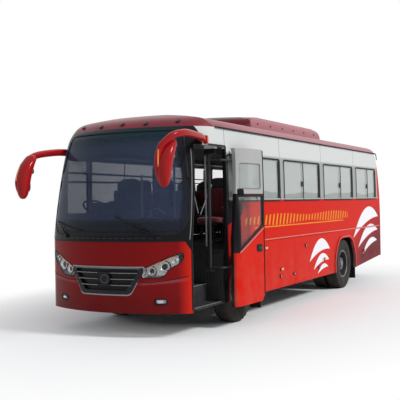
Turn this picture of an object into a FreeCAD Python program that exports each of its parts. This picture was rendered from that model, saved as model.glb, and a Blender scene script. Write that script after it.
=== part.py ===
import FreeCAD, Part
import math
import os

# Coach bus, millimetres. X runs forward, Y to the left (door side), Z up.
# The origin is on the ground, on the centreline, midway between tail and mirror heads.
# "Back" is a distance behind the nose of the body.

# Body shell
BODY_LENGTH = 10000.0
BODY_WIDTH = 2500.0
ROOF_Z = 3185.0
GUTTER_Z = 2944.0
BELT_Z = 1898.0
SILL_Z = 381.0
TAIL_SILL_Z = 512.0
SKIRT_Z = 300.0
WALL = 40.0
SEAM = 6.0
SHELL_TOP_Z = 3206.0
GUTTER_TUCK = 25.0
OVERRUN = 200.0
TOUCH = 0.001
MIRROR_REACH = 480.0
HALF_WIDTH = BODY_WIDTH / 2
NOSE_X = (BODY_LENGTH + MIRROR_REACH) / 2 - MIRROR_REACH

# Plan curves of nose and tail, and the cross curve of the roof
NOSE_BOW_RADIUS = 2150.0
NOSE_CORNER_RADIUS = 360.0
NOSE_CORNER_TOP_RADIUS = 500.0
TAIL_BOW_RADIUS = 6200.0
TAIL_CORNER_RADIUS = 250.0
ROOF_BOW_RADIUS = 5424.0
ROOF_CORNER_RADIUS = 300.0
ROOF_FLARE = 15.0
NOSE_LEAN = 1350.0
TAIL_LEAN = 1100.0
# Share of the way from the hood line to the shell's top, then shares of nose lean and tail lean
LEAN_SHARES = ((0.0, 0.0, 0.0), (0.035, 0.0055, 0.0004), (0.07, 0.0118, 0.0014), (0.14, 0.026, 0.004),
               (0.22, 0.0465, 0.0138), (0.305, 0.070, 0.030), (0.466, 0.120, 0.074), (0.625, 0.176, 0.140),
               (0.731, 0.222, 0.205), (0.811, 0.274, 0.270), (0.861, 0.333, 0.335),
               (0.901, 0.396, 0.410), (0.939, 0.505, 0.530), (0.968, 0.665, 0.690), (0.987, 0.830, 0.850),
               (1.0, 1.0, 1.0))

# Front end
BUMPER_Z = 342.0
SEAM_LOW_Z = 772.0
SEAM_LOW_Y = 640.0
SEAM_MIDDLE_Z = 804.0
SEAM_MIDDLE_Y = 930.0
SEAM_HIGH_Z = 880.0
HOOD_Z = 1324.0
HOOD_BEND_Y = 1125.0
HOOD_SIDE_Z = 1066.0
FRONT_JOINT_BACK = 400.0
FRONT_JOINT_LEAN_SHARE = 0.165
HEADER_BACK = 740.0
GLASS_SET = 5.0
GLASS_THICKNESS = 8.0
SCREEN_LOW_Z = 1432.0
SCREEN_CHIN_Z = 1640.0
SCREEN_SHOULDER_Z = 1950.0
SCREEN_HIGH_Z = 2890.0
SCREEN_LOW_HALF = 1060.0
SCREEN_WIDE_HALF = 1150.0
SCREEN_HIGH_HALF = 970.0
SCREEN_CORNER_RADIUS = 110.0
GRILLE_TOP_Z = 980.0
GRILLE_LOW_Z = 594.0
GRILLE_TOP_HALF = 620.0
GRILLE_LOW_HALF = 405.0
GRILLE_RIM_TOP = 18.0
GRILLE_RIM_SIDE = 60.0
GRILLE_RIM_LOW = 62.0
GRILLE_BAR = 20.0
GRILLE_BARS = 3
GRILLE_BAR_PITCH = 85.0
GRILLE_BOSS_Z = 812.0
GRILLE_PROUD = 8.0
GRILLE_DEPTH = 34.0
GRILLE_BOSS_RADIUS = 92.0
GRILLE_CORNER_RADIUS = 45.0
LAMP_INNER_Y = 558.0
LAMP_OUTER_Y = 1107.0
LAMP_LOW_Z = 830.0
LAMP_HIGH_Z = 1180.0
LAMP_CORNER_RADIUS = 25.0
FOG_Y = 818.0
FOG_Z = 508.0
FOG_WIDTH = 160.0
FOG_HEIGHT = 76.0
WIPER_WIDTH = 24.0
WIPER_GAP = 10.0
WIPER_DEPTH = 14.0
WIPER_HUB_RADIUS = 30.0
WIPER_HUB_Y = 745.0
WIPER_TIP_Y = 200.0
WIPER_HUB_Z = 1400.0
WIPER_TIP_Z = 1668.0

# Side openings, measured behind the nose
WINDOW_LOW_Z = 1868.0
WINDOW_HIGH_Z = 2560.0
WINDOW_RADIUS = 45.0
WINDOW_FRONTS = (1400.0, 3597.0, 5651.0, 7777.0)
WINDOW_REARS = (3407.0, 5406.0, 7504.0, 9301.0)
CAB_WINDOW_FRONT = 760.0
CAB_WINDOW_REAR = 1325.0
CAB_WINDOW_LOW_Z = 1700.0
SILL_RISE_BACK = 7700.0
TAIL_JOINT_BACK = 9560.0
DOOR_REAR_BACK = 1335.0
DOOR_TOP_Z = 2668.0
DOOR_GAP = 12.0
DOOR_BOTTOM_Z = 322.0
DOOR_CHAMFER = 90.0

# Running gear
WHEEL_RADIUS = 510.0
TYRE_WIDTH = 260.0
RIM_RADIUS = 286.0
RIM_WIDTH = 200.0
RIM_WALL = 14.0
RIM_LIP = 16.0
FRONT_AXLE_BACK = 1961.0
REAR_AXLE_BACK = 6950.0
FRONT_WHEEL_Y = 1020.0
REAR_OUTER_Y = 1085.0
REAR_INNER_Y = 775.0
ARCH_TOP_Z = 1085.0
FRONT_ARCH_HALF = 590.0
REAR_ARCH_HALF = 690.0
ARCH_RADIUS = 330.0
ARCH_SHOULDER_Z = 680.0
KINGPIN_Y = 860.0
KINGPIN_RADIUS = 18.0
KINGPIN_CLEARANCE = 0.5
EYE_RADIUS = 40.0
FORK_HEIGHT = 50.0
FORK_GAP = 2.0
FORK_WEB = 20.0
FORK_WEB_SET = 46.0
FORK_WEB_HALF = 60.0
SPINDLE_RADIUS = 30.0
SPINDLE_PAST = 55.0
SPINDLE_CLEARANCE = 0.5
STEER_ARM = 180.0
STEER_ARM_WIDTH = 44.0
STEER_ARM_THICKNESS = 30.0
TIE_PIN_RADIUS = 12.0
TIE_EYE_RADIUS = 26.0
TIE_ROD_RADIUS = 15.0
TIE_ROD_HEIGHT = 32.0
TIE_GAP = 4.0
BEAM_HEIGHT = 100.0
BEAM_WIDTH = 80.0
BEAM_TOP_Z = 585.0
BEAM_DROP = 70.0
BEAM_DROP_HALF = 250.0
BEAM_RISE_HALF = 330.0
HUB_RADIUS = 110.0
HUB_GAP = 6.0
HUB_CAP = 20.0
DISC_THICKNESS = 14.0
DISC_HOLES = 8
DISC_HOLE_RADIUS = 26.0
DISC_HOLE_CIRCLE = 215.0
DISC_FLAT_RADIUS = 170.0
AXLE_TUBE_RADIUS = 75.0
AXLE_TUBE_HALF = 620.0
DIFF_RADIUS = 185.0
DIFF_HALF = 150.0
REAR_SPINDLE_RADIUS = 45.0
REAR_SPINDLE_PAST = 50.0
REAR_HUB_RADIUS = 125.0
JACK_PAD_Y = 470.0
JACK_PAD_HALF = 45.0
JACK_PAD_DROP = 15.0
RAIL_INNER_Y = 350.0
RAIL_FLANGE = 80.0
RAIL_WEB = 12.0
RAIL_LOW_Z = 660.0
RAIL_HIGH_Z = 860.0
RAIL_FRONT_BACK = 420.0
RAIL_REAR_BACK = 9500.0
SPRING_LEAF = 20.0
SPRING_LENGTH = 1280.0
SPRING_STEP = 360.0
SPRING_LEAVES = 3
SHACKLE_LENGTH = 90.0
TOW_PLATE = 40.0
TOW_BORE_RADIUS = 20.0
TOW_EYE_RADIUS = 38.0
TOW_Z = 312.0
TOW_LENGTH = 130.0
ENGINE_FRONT_BACK = 8150.0
ENGINE_REAR_BACK = 9380.0
ENGINE_LOW_Z = 430.0
ENGINE_HIGH_Z = 1060.0
ENGINE_EDGE = 40.0

# Floors and fittings
FLOOR_Z = 1150.0
FLOOR_THICKNESS = 50.0
FLOOR_FRONT_BACK = 330.0
FLOOR_REAR_BACK = 9480.0
SHELF_Z = 1450.0
SHELF_THICKNESS = 20.0
BEARER_WIDTH = 55.0
WIDE_BEARER_BACKS = (330.0, 2630.0, 6080.0, 7750.0, 9400.0)
NARROW_BEARER_BACKS = (1345.0, 3500.0, 4700.0)
STEP_Z = 395.0
STEP_PLATE = 25.0
STEP_TREAD = 280.0
STEPS = 3
WELL_FRONT_BACK = 430.0
WELL_WALL = 30.0
GUARD = 20.0
GUARD_FOOT_Z = 400.0
FRONT_GUARD_Y = 505.0
REAR_GUARD_Y = 560.0
GUARD_LOW_Z = 760.0
FRONT_GUARD_REAR_BACK = 2590.0
REAR_GUARD_HALF = 760.0
BAY_FRONT_BACK = 2880.0
BAY_SPLIT_BACK = 4066.0
BAY_REAR_BACK = 6060.0
BAY_FLOOR_Z = 440.0
BAY_WALL = 15.0
BAY_MARGIN = 40.0
FLAP_TOP_Z = 1214.0
HINGE_RADIUS = 7.0
HINGE_OUT = 4.0
HINGE_DROP = 2.0
HINGE_LENGTH = 60.0
HINGE_EAR = 30.0
HINGE_GAP = 0.3
HINGE_ROOM = 1.5
LID_HINGE_Y = 170.0
LID_LOW_Z = 640.0
LID_HIGH_Z = 1400.0
LID_HALF = 820.0
LID_RADIUS = 50.0
REAR_WINDOW_LOW_Z = 1930.0
REAR_WINDOW_HIGH_Z = 2700.0
REAR_WINDOW_HALF = 900.0
REAR_WINDOW_RADIUS = 110.0
TAIL_LAMP_Y = 1045.0
TAIL_LAMP_Z = 1000.0
TAIL_LAMP_WIDTH = 130.0
TAIL_LAMP_HEIGHT = 420.0
MUD_SHEET = 12.0
MUD_LOW_Z = 135.0
MUD_HIGH_Z = 560.0
MUD_FRONT_WIDTH = 330.0
MUD_REAR_WIDTH = 600.0

# Doorway gear
POST_BACK = 1190.0
POST_X = NOSE_X - POST_BACK
POST_Y = 1055.0
POST_RADIUS = 24.0
POST_SEAT_HALF = 48.0
HANGER_SET = 80.0
POST_LOW_Z = 860.0
POST_HIGH_Z = 2562.0
LEAF_PIN_Y = 1125.0
LEAF_PIN_RADIUS = 12.0
LEAF_PIN_CLEARANCE = 0.5
ARM_REACH = 480.0
ARM_RADIUS = 17.0
ARM_TURN = 80.0
ARM_BEND_RADIUS = 60.0
ARM_EYE_RADIUS = 24.0
ARM_EYE_HEIGHT = 42.0
ARM_HEIGHTS = (900.0, 2470.0)
DOOR_TOE = 2.2
DOOR_OUTSET = 210.0
BRACKET_HEIGHT = 16.0
BRACKET_HALF = 26.0
POST_SEAT_GAP = 0.4

# Cabin
SEAT_WIDTH = 440.0
SEAT_PITCH = 770.0
SEAT_ROWS = 9
SEATS_ABREAST = 2
BENCH_SEATS = 5
SEAT_FIRST_BACK = 2050.0
SEAT_DEPTH = 640.0
SEAT_HEIGHT = 1120.0
SEAT_CUSHION_Z = 430.0
SEAT_RADIUS = 50.0
SEAT_WALL_GAP = 0.3
SEAT_GAP = 16.0
DRIVER_SEAT_BACK = 1120.0
DRIVER_SEAT_Y = 640.0
DRIVER_SEAT_WIDTH = 520.0
DASH_TOP_Z = 1650.0
DASH_DEPTH = 430.0
DASH_HALF = 1180.0
DASH_DOOR_Y = 1040.0
DASH_DROP = 120.0
STEERING_RADIUS = 230.0
STEERING_TUBE = 15.0
SPOKE_RADIUS = 10.0
STEERING_BACK = 760.0
STEERING_Z = 1790.0
STEERING_TILT = 32.0
COLUMN_RADIUS = 35.0
COLUMN_LENGTH = 700.0
RACK_Z = 2600.0
RACK_THICKNESS = 70.0
RACK_INNER_Y = 830.0
RACK_FRONT_BACK = 1650.0
RACK_REAR_BACK = 9150.0
RAIL_TUBE = 16.0
POLE_BACK = 1420.0
FRONT_POLE_BACK = 494.0
POLE_Y = 330.0

# Roof unit
POD_FRONT_BACK = 2700.0
POD_REAR_BACK = 6620.0
POD_HALF = 850.0
POD_TOP_Z = 3330.0
POD_BASE_Z = 3050.0
POD_NOSE = 480.0
POD_TAIL = 260.0
POD_BOW = 370.0
POD_EDGE = 90.0

# Mirrors
MIRROR_ROOT_BACK = 770.0
MIRROR_KNEE_BACK = 257.0
MIRROR_ROOT_Z = 2725.0
MIRROR_RIGHT_DROP = 95.0
MIRROR_HEAD_Y = 1190.0
MIRROR_HEAD_WIDTH = 240.0
MIRROR_HEAD_DEPTH = 165.0
MIRROR_HEAD_LOW_Z = 2050.0
MIRROR_HEAD_HIGH_Z = 2690.0
MIRROR_ARM_RADIUS = 50.0
MIRROR_ARM_Z = 2755.0
MIRROR_BEND_RADIUS = 150.0
MIRROR_ARM_OUT = 112.0
MIRROR_TOP_OUT = 56.0
LEAF_STILE = 45.0
UPPER_LIGHT_MARGIN = 120.0
UPPER_LIGHT_STILE = 60.0
UPPER_LIGHT_LOW_Z = 2050.0
UPPER_LIGHT_HIGH_Z = 2430.0
LOWER_LIGHT_HIGH_Z = 1950.0
LOWER_LIGHT_REAR_Z = 1495.0
LOWER_LIGHT_FRONT_Z = 1160.0
LIGHT_RADIUS = 30.0
BRACKET_GAP = 3.0
MOVING_GAP = 7.0
SEAT_WALL_MARGIN = 25.0
WIPER_SHIFT = 250.0

# Shares of the piece that each one shapes
ARCH_TOP_SHARE = 0.62
LAMP_SHARES = ((0.0, 0.0), (0.49, 0.03), (0.61, 0.14), (0.65, 0.31), (0.93, 0.58), (1.0, 0.78), (1.0, 1.0),
               (0.64, 0.80), (0.41, 0.63), (0.10, 0.42))
TYRE_SHARES = ((0.86, 0.10), (1.0, 0.42), (1.0, 0.60), (0.93, 0.90), (0.80, 1.0))
SEAT_SHARES = ((0.0, 0.30), (0.02, 0.40), (0.62, 0.38), (0.80, 1.0), (0.97, 1.0), (0.80, 0.30))
SEAT_FOOT_SHARE = 0.28
HINGE_SHARE = 0.15
DISC_ROOT_SHARE = 0.2
DASH_TOP_SHARE = 0.85
POD_SHARES = ((0.0, 0.0, 0.0), (0.3, 0.03, 0.02), (0.6, 0.14, 0.14), (0.85, 0.42, 0.48), (1.0, 1.0, 1.0))
MIRROR_SHARES = ((0.0, 0.30, 0.9), (0.10, 0.72, 0.5), (0.35, 1.0, 0.1), (0.70, 1.0, 0.0), (0.90, 0.80, 0.25),
                 (1.0, 0.45, 0.6))


def vec(x, y, z):
    return FreeCAD.Vector(x, y, z)


def at(back):
    """X of a place given as a distance behind the nose."""
    return NOSE_X - back


def lift(plane, level):
    """Return a function that places a 2-D point on a plane at a level along its normal."""
    if plane == "XY":
        return lambda p: vec(p[0], p[1], level)
    if plane == "XZ":
        return lambda p: vec(p[0], level, p[1])
    return lambda p: vec(level, p[0], p[1])


def corner_arc(before, corner, after, radius):
    """Start, middle and end of the arc that rounds a corner of an outline."""
    spot = vec(corner[0], corner[1], 0)
    a = vec(before[0], before[1], 0) - spot
    b = vec(after[0], after[1], 0) - spot
    half = a.getAngle(b) / 2
    reach = min(radius / math.tan(half), a.Length / 2, b.Length / 2)
    fitted = reach * math.tan(half)
    a.normalize()
    b.normalize()
    middle = a + b
    middle.normalize()
    return [spot + a * reach, spot + middle * (fitted / math.sin(half) - fitted), spot + b * reach]


def rounded_wire(plane, points, level, radius):
    """Closed wire through the points, with every corner rounded by the radius."""
    place = lift(plane, level)
    if radius <= 0:
        return Part.makePolygon([place(p) for p in points] + [place(points[0])])
    count = len(points)
    arcs = [corner_arc(points[i - 1], points[i], points[(i + 1) % count], radius) for i in range(count)]
    edges = []
    for i, arc in enumerate(arcs):
        start, middle, end = [place(p) for p in arc]
        edges.append(Part.Arc(start, middle, end).toShape())
        following = place(arcs[(i + 1) % count][0])
        if end.distanceToPoint(following) > TOUCH:
            edges.append(Part.makeLine(end, following))
    return Part.Wire(edges)


def prism(plane, points, low, high, radius=0):
    """Extrude a rounded outline from one level to another along the plane's normal."""
    face = Part.Face(rounded_wire(plane, points, low, radius))
    along = {"XY": vec(0, 0, high - low), "XZ": vec(0, high - low, 0), "YZ": vec(high - low, 0, 0)}
    return face.extrude(along[plane])


def box(x_low, x_high, y_low, y_high, z_low, z_high):
    return Part.makeBox(x_high - x_low, y_high - y_low, z_high - z_low, vec(x_low, y_low, z_low))


def rectangle(a_low, a_high, b_low, b_high):
    return [(a_low, b_low), (a_high, b_low), (a_high, b_high), (a_low, b_high)]


def rod(start, end, radius):
    along = end - start
    return Part.makeCylinder(radius, along.Length, start, along)


def disc(x, y, z_low, z_high, radius):
    """Upright round bar."""
    return Part.makeCylinder(radius, z_high - z_low, vec(x, y, z_low), vec(0, 0, 1))


def barrel(x, z, y_low, y_high, radius):
    """Round bar along Y."""
    return Part.makeCylinder(radius, y_high - y_low, vec(x, y_low, z), vec(0, 1, 0))


def revolve_y(points, x, z):
    """Turn a closed outline of (Y, radius) points about a line along Y."""
    wire = Part.makePolygon([vec(x, p[0], z + p[1]) for p in points + points[:1]])
    return Part.Face(wire).revolve(vec(x, 0, z), vec(0, 1, 0), 360)


def mirrored(shape):
    return shape.mirror(vec(0, 0, 0), vec(0, 1, 0))


def both(shape):
    return [shape, mirrored(shape)]


def fuse(shapes):
    return shapes[0].multiFuse(shapes[1:]).removeSplitter() if len(shapes) > 1 else shapes[0]


def tube_path(points, radius, bend):
    """Round bar along straight runs joined by arcs."""
    edges = []
    last = points[0]
    for i in range(1, len(points) - 1):
        a = points[i - 1] - points[i]
        b = points[i + 1] - points[i]
        half = a.getAngle(b) / 2
        reach = bend / math.tan(half)
        a.normalize()
        b.normalize()
        middle = a + b
        middle.normalize()
        start = points[i] + a * reach
        end = points[i] + b * reach
        edges.append(Part.makeLine(last, start))
        edges.append(Part.Arc(start, points[i] + middle * (bend / math.sin(half) - bend), end).toShape())
        last = end
    edges.append(Part.makeLine(last, points[-1]))
    start = Part.Wire(Part.makeCircle(radius, points[0], points[1] - points[0]))
    return Part.Wire(edges).makePipeShell([start], True, False)


def export(name, shape):
    """Write one node; a list becomes separate solids in the same node."""
    shapes = shape if isinstance(shape, list) else [shape]
    solids = [solid for piece in shapes for solid in piece.Solids]
    for solid in solids:
        assert solid.isValid(), name
    whole = solids[0] if len(solids) == 1 else Part.makeCompound(solids)
    whole.exportStep("parts/" + name + ".step")


# Body envelope


def tangent_corner(bow, corner, half):
    """Bowed edge that runs into a round corner: three (depth, side) points of that corner."""
    depth = bow - math.sqrt((bow - corner) ** 2 - (half - corner) ** 2)
    turn = math.asin((half - corner) / (bow - corner))
    angles = (turn, (turn + math.pi / 2) / 2, math.pi / 2)
    return [(depth - corner * math.cos(a), half - corner + corner * math.sin(a)) for a in angles]


def plan_wire(level, setback, rear_setback, half, inset, corner_radius):
    """Outline of the body seen from above, at one level."""
    nose = tangent_corner(NOSE_BOW_RADIUS - inset, corner_radius - inset, half)
    tail = tangent_corner(TAIL_BOW_RADIUS - inset, TAIL_CORNER_RADIUS - inset, half)
    front = at(setback)
    rear = at(BODY_LENGTH - rear_setback)
    left_nose = [vec(front - d, s, level) for d, s in nose]
    right_nose = [vec(front - d, -s, level) for d, s in nose]
    left_tail = [vec(rear + d, s, level) for d, s in tail]
    right_tail = [vec(rear + d, -s, level) for d, s in tail]
    edges = [Part.Arc(right_nose[0], vec(front, 0, level), left_nose[0]).toShape(),
             Part.Arc(*left_nose).toShape(),
             Part.makeLine(left_nose[2], left_tail[2]),
             Part.Arc(*left_tail[::-1]).toShape(),
             Part.Arc(left_tail[0], vec(rear, 0, level), right_tail[0]).toShape(),
             Part.Arc(*right_tail).toShape(),
             Part.makeLine(right_tail[2], right_nose[2]),
             Part.Arc(*right_nose[::-1]).toShape()]
    return Part.Wire(edges)


def tucked_half(level):
    """Half width of the body at a level; it tucks in gently above the belt."""
    rise = max(0.0, level - BELT_Z) / (GUTTER_Z - BELT_Z)
    return HALF_WIDTH - GUTTER_TUCK * rise * rise


def lean_rows():
    """Level, nose setback and tail setback of each plan outline above the hood line."""
    rise = SHELL_TOP_Z - HOOD_Z
    return [(HOOD_Z + rise * up, NOSE_LEAN * nose, TAIL_LEAN * tail) for up, nose, tail in LEAN_SHARES]


def upper_hull(inset):
    """Everything above the hood line, before the roof is cut to its cross curve."""
    wires = []
    rows = lean_rows()
    for i, (level, setback, rear_setback) in enumerate(rows):
        above = rows[min(i + 1, len(rows) - 1)]
        below = rows[max(i - 1, 0)]
        slope = 0.0 if i == 0 else math.atan2(above[1] - below[1], above[0] - below[0])
        up = (level - HOOD_Z) / (SHELL_TOP_Z - HOOD_Z)
        corner = NOSE_CORNER_RADIUS + (NOSE_CORNER_TOP_RADIUS - NOSE_CORNER_RADIUS) * up
        offset = inset * math.cos(slope)
        wires.append(plan_wire(level - inset * math.sin(slope), setback + offset, rear_setback + offset,
                               tucked_half(level) - inset, inset, corner))
    return Part.makeLoft(wires, True, False)


def lower_hull(inset, low):
    """Upright walls from the skirt to the hood line."""
    wire = plan_wire(HOOD_Z, inset, inset, HALF_WIDTH - inset, inset, NOSE_CORNER_RADIUS)
    return Part.Face(wire).extrude(vec(0, 0, low - HOOD_Z))


def roof_prism(inset):
    """Cross section of the roof, carried straight from nose to tail."""
    half = HALF_WIDTH + ROOF_FLARE - inset
    corner = tangent_corner(ROOF_BOW_RADIUS - inset, ROOF_CORNER_RADIUS - inset, half)
    rear = at(BODY_LENGTH) - OVERRUN
    crown = ROOF_Z - inset
    left = [vec(rear, s, crown - d) for d, s in corner]
    right = [vec(rear, -s, crown - d) for d, s in corner]
    low = HOOD_Z - OVERRUN
    feet = [vec(rear, left[2].y, low), vec(rear, right[2].y, low)]
    edges = [Part.Arc(right[0], vec(rear, 0, crown), left[0]).toShape(), Part.Arc(*left).toShape(),
             Part.makeLine(left[2], feet[0]), Part.makeLine(feet[0], feet[1]),
             Part.makeLine(feet[1], right[2]), Part.Arc(*right[::-1]).toShape()]
    return Part.Face(Part.Wire(edges)).extrude(vec(BODY_LENGTH + 2 * OVERRUN, 0, 0))


def envelope(inset, low=SKIRT_Z):
    """Body form moved inwards by the inset, down to a level."""
    return upper_hull(inset).common(roof_prism(inset)).fuse(lower_hull(inset, low))


def lower_skin(outer, inner):
    """Skin between two insets, below the hood line."""
    return lower_hull(outer, SKIRT_Z).cut(lower_hull(inner, SKIRT_Z - OVERRUN))


def upper_pieces(outer, inner, cutters):
    """What the cutters take out of the skin between two insets, above the hood line."""
    high = upper_hull(outer)
    low = upper_hull(inner)
    return [high.common(cutter).cut(low) for cutter in cutters]


# Regions of the body, as side views


def joint_back(level):
    """Where the front mask meets the side walls; above the hood the joint leans back with the nose."""
    return FRONT_JOINT_BACK + FRONT_JOINT_LEAN_SHARE * max(0.0, level - HOOD_Z)


def joint_line(low, high, gap=0):
    """Side-view points of that joint from one level to another."""
    levels = [low] + [HOOD_Z] * (low < HOOD_Z < high) + [high]
    return [(at(joint_back(level) + gap), level) for level in levels]


def band(points, radius=0):
    """Side-view outline carried across the whole width."""
    return prism("XZ", points, -HALF_WIDTH - OVERRUN, HALF_WIDTH + OVERRUN, radius)


def left_band(points, radius=0):
    return prism("XZ", points, 0, HALF_WIDTH + OVERRUN, radius)


def nose_region(low, high):
    return band(joint_line(low, high) + [(at(-OVERRUN), high), (at(-OVERRUN), low)])


def frame_region():
    header = [(at(HEADER_BACK), DOOR_TOP_Z), (at(HEADER_BACK), GUTTER_Z)]
    ahead = [(at(-OVERRUN), GUTTER_Z), (at(-OVERRUN), HOOD_SIDE_Z)]
    return band(joint_line(HOOD_SIDE_Z, DOOR_TOP_Z) + header + ahead)


def side_region():
    header = [(at(HEADER_BACK), DOOR_TOP_Z), (at(HEADER_BACK), GUTTER_Z)]
    rear = [(at(TAIL_JOINT_BACK), level) for level in (GUTTER_Z, TAIL_SILL_Z)]
    rear.append((at(SILL_RISE_BACK), SILL_Z))
    return left_band(joint_line(SILL_Z, DOOR_TOP_Z) + header + rear)


def tail_region():
    return band(rectangle(at(BODY_LENGTH + OVERRUN), at(TAIL_JOINT_BACK), TAIL_SILL_Z, GUTTER_Z))


def arch_outline(back, half):
    foot = SILL_Z - OVERRUN
    return [(at(back - half), foot), (at(back - half), ARCH_SHOULDER_Z),
            (at(back - half * ARCH_TOP_SHARE), ARCH_TOP_Z), (at(back + half * ARCH_TOP_SHARE), ARCH_TOP_Z),
            (at(back + half), ARCH_SHOULDER_Z), (at(back + half), foot)]


def window_outlines():
    return [rectangle(at(rear), at(front), WINDOW_LOW_Z, WINDOW_HIGH_Z)
            for front, rear in zip(WINDOW_FRONTS, WINDOW_REARS)]


def cab_window_outline():
    return rectangle(at(CAB_WINDOW_REAR), at(CAB_WINDOW_FRONT), CAB_WINDOW_LOW_Z, WINDOW_HIGH_Z)


def door_outline(gap):
    """Doorway, or the leaf that fills it when a gap is given."""
    top = DOOR_TOP_Z - gap
    low = DOOR_BOTTOM_Z if gap else SKIRT_Z - OVERRUN
    rear = at(DOOR_REAR_BACK - gap)
    front = joint_line(low, top, gap)
    if not gap:
        return front + [(rear, top), (rear, low)]
    return front + [(rear, top), (rear, low + DOOR_CHAMFER), (rear + DOOR_CHAMFER, low)]


def flap_outline(front, rear, gap):
    return rectangle(at(rear - gap), at(front + gap), SILL_Z - (0 if gap else OVERRUN), FLAP_TOP_Z)


# Body panels


def side_wall(skin):
    wall = skin.common(side_region())
    cuts = [left_band(outline, WINDOW_RADIUS) for outline in window_outlines()]
    cuts.append(left_band(arch_outline(FRONT_AXLE_BACK, FRONT_ARCH_HALF), ARCH_RADIUS))
    cuts.append(left_band(arch_outline(REAR_AXLE_BACK, REAR_ARCH_HALF), ARCH_RADIUS))
    cuts.append(left_band(flap_outline(BAY_FRONT_BACK, BAY_REAR_BACK, 0)))
    wall = wall.cut(Part.makeCompound(cuts))
    for name, front, rear in flap_spans():
        wall = hinged_frame(wall, flap_hinges(front, rear))
    return wall


def post_hanger():
    """Bracket over the door that holds the top of the arm post, clear of the closed leaf."""
    inner = HALF_WIDTH - HANGER_SET
    rear = POST_X - POST_SEAT_HALF
    front = POST_X + POST_SEAT_HALF
    top = DOOR_TOP_Z + WALL
    foot = box(rear, front, POST_Y - POST_SEAT_HALF, inner, POST_HIGH_Z + POST_SEAT_GAP, top)
    return foot.fuse(box(rear, front, inner, HALF_WIDTH, DOOR_TOP_Z, top))


def make_side_walls(skin, cavity):
    wall = side_wall(skin)
    left = wall.cut(left_band(door_outline(0)))
    left = left.fuse(post_hanger().common(cavity)).removeSplitter()
    right = mirrored(wall.cut(left_band(cab_window_outline(), WINDOW_RADIUS)))
    export("side_wall_left", left)
    export("side_wall_right", right)


def make_roof(skin):
    top = SHELL_TOP_Z + OVERRUN
    above = box(at(BODY_LENGTH + OVERRUN), at(-OVERRUN), -BODY_WIDTH, BODY_WIDTH, GUTTER_Z, top)
    export("roof_shell", skin.common(above))


def screen_outline():
    right = [(SCREEN_LOW_HALF, SCREEN_LOW_Z), (SCREEN_WIDE_HALF, SCREEN_CHIN_Z),
             (SCREEN_WIDE_HALF, SCREEN_SHOULDER_Z), (SCREEN_HIGH_HALF, SCREEN_HIGH_Z)]
    return right + [(-y, z) for y, z in right[::-1]]


def front_cut(points, radius):
    """Front-view outline carried back through the nose."""
    return prism("YZ", points, at(HEADER_BACK), at(-OVERRUN), radius)


def nose_bar(y, z, radius):
    """Round bar carried back through the nose."""
    return Part.makeCylinder(radius, HEADER_BACK, vec(at(HEADER_BACK), y, z), vec(1, 0, 0))


def below_seam():
    """Everything under the curved seam between the mask and the bumper."""
    x = at(HEADER_BACK)
    marks = ((SEAM_LOW_Y, SEAM_LOW_Z), (SEAM_MIDDLE_Y, SEAM_MIDDLE_Z), (HALF_WIDTH, SEAM_HIGH_Z))
    right = [vec(x, y, z) for y, z in marks]
    left = [vec(x, -y, z) for y, z in marks[::-1]]
    feet = [vec(x, HALF_WIDTH, SKIRT_Z), vec(x, -HALF_WIDTH, SKIRT_Z)]
    edges = [Part.Arc(*left).toShape(), Part.makeLine(left[2], right[0]), Part.Arc(*right).toShape()]
    corners = [right[2]] + feet + [left[0]]
    edges += [Part.makeLine(start, end) for start, end in zip(corners, corners[1:])]
    return Part.Face(Part.Wire(edges)).extrude(vec(at(-OVERRUN) - x, 0, 0))


def below_hood():
    """Everything under the hood line, which drops at the corners to the foot of each front pillar."""
    right = [(HALF_WIDTH, SKIRT_Z), (HALF_WIDTH, HOOD_SIDE_Z), (HOOD_BEND_Y, HOOD_Z)]
    return front_cut(right + [(-y, z) for y, z in right[::-1]], 0)


def grille_outline(top_inset, side_inset, low_inset):
    top = GRILLE_TOP_HALF - side_inset
    low = GRILLE_LOW_HALF - side_inset
    foot = GRILLE_LOW_Z + low_inset
    head = GRILLE_TOP_Z - top_inset
    return [(-low, foot), (low, foot), (top, head), (-top, head)]


def lamp_outline():
    """Left headlamp seen from the front: a slanting teardrop."""
    width = LAMP_OUTER_Y - LAMP_INNER_Y
    height = LAMP_HIGH_Z - LAMP_LOW_Z
    return [(LAMP_INNER_Y + width * across, LAMP_LOW_Z + height * up) for across, up in LAMP_SHARES]


def centred(a, b, width, height):
    """Rectangle round a middle point."""
    return rectangle(a - width / 2, a + width / 2, b - height / 2, b + height / 2)


def fog_outline():
    return centred(FOG_Y, FOG_Z, FOG_WIDTH, FOG_HEIGHT)


def make_front(skin):
    lamp_skin = lower_skin(0, WALL)
    lamps = both(front_cut(lamp_outline(), LAMP_CORNER_RADIUS))
    fogs = both(front_cut(fog_outline(), FOG_HEIGHT / 2))
    mouth = front_cut(grille_outline(0, 0, 0), GRILLE_CORNER_RADIUS)
    screen = front_cut(screen_outline(), SCREEN_CORNER_RADIUS)
    nose = skin.common(nose_region(BUMPER_Z, HOOD_Z))
    export("front_mask", nose.common(below_hood()).cut(Part.makeCompound(lamps + [mouth, below_seam()])))
    export("front_bumper", nose.common(below_seam()).cut(Part.makeCompound(fogs + [mouth])))
    export("windscreen_frame", skin.common(frame_region()).cut(Part.makeCompound([screen, below_hood()])))
    export("headlamps", [lamp_skin.common(lamp) for lamp in lamps])
    export("fog_lamps", [lamp_skin.common(fog) for fog in fogs])
    export("grille", make_grille(mouth))


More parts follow.
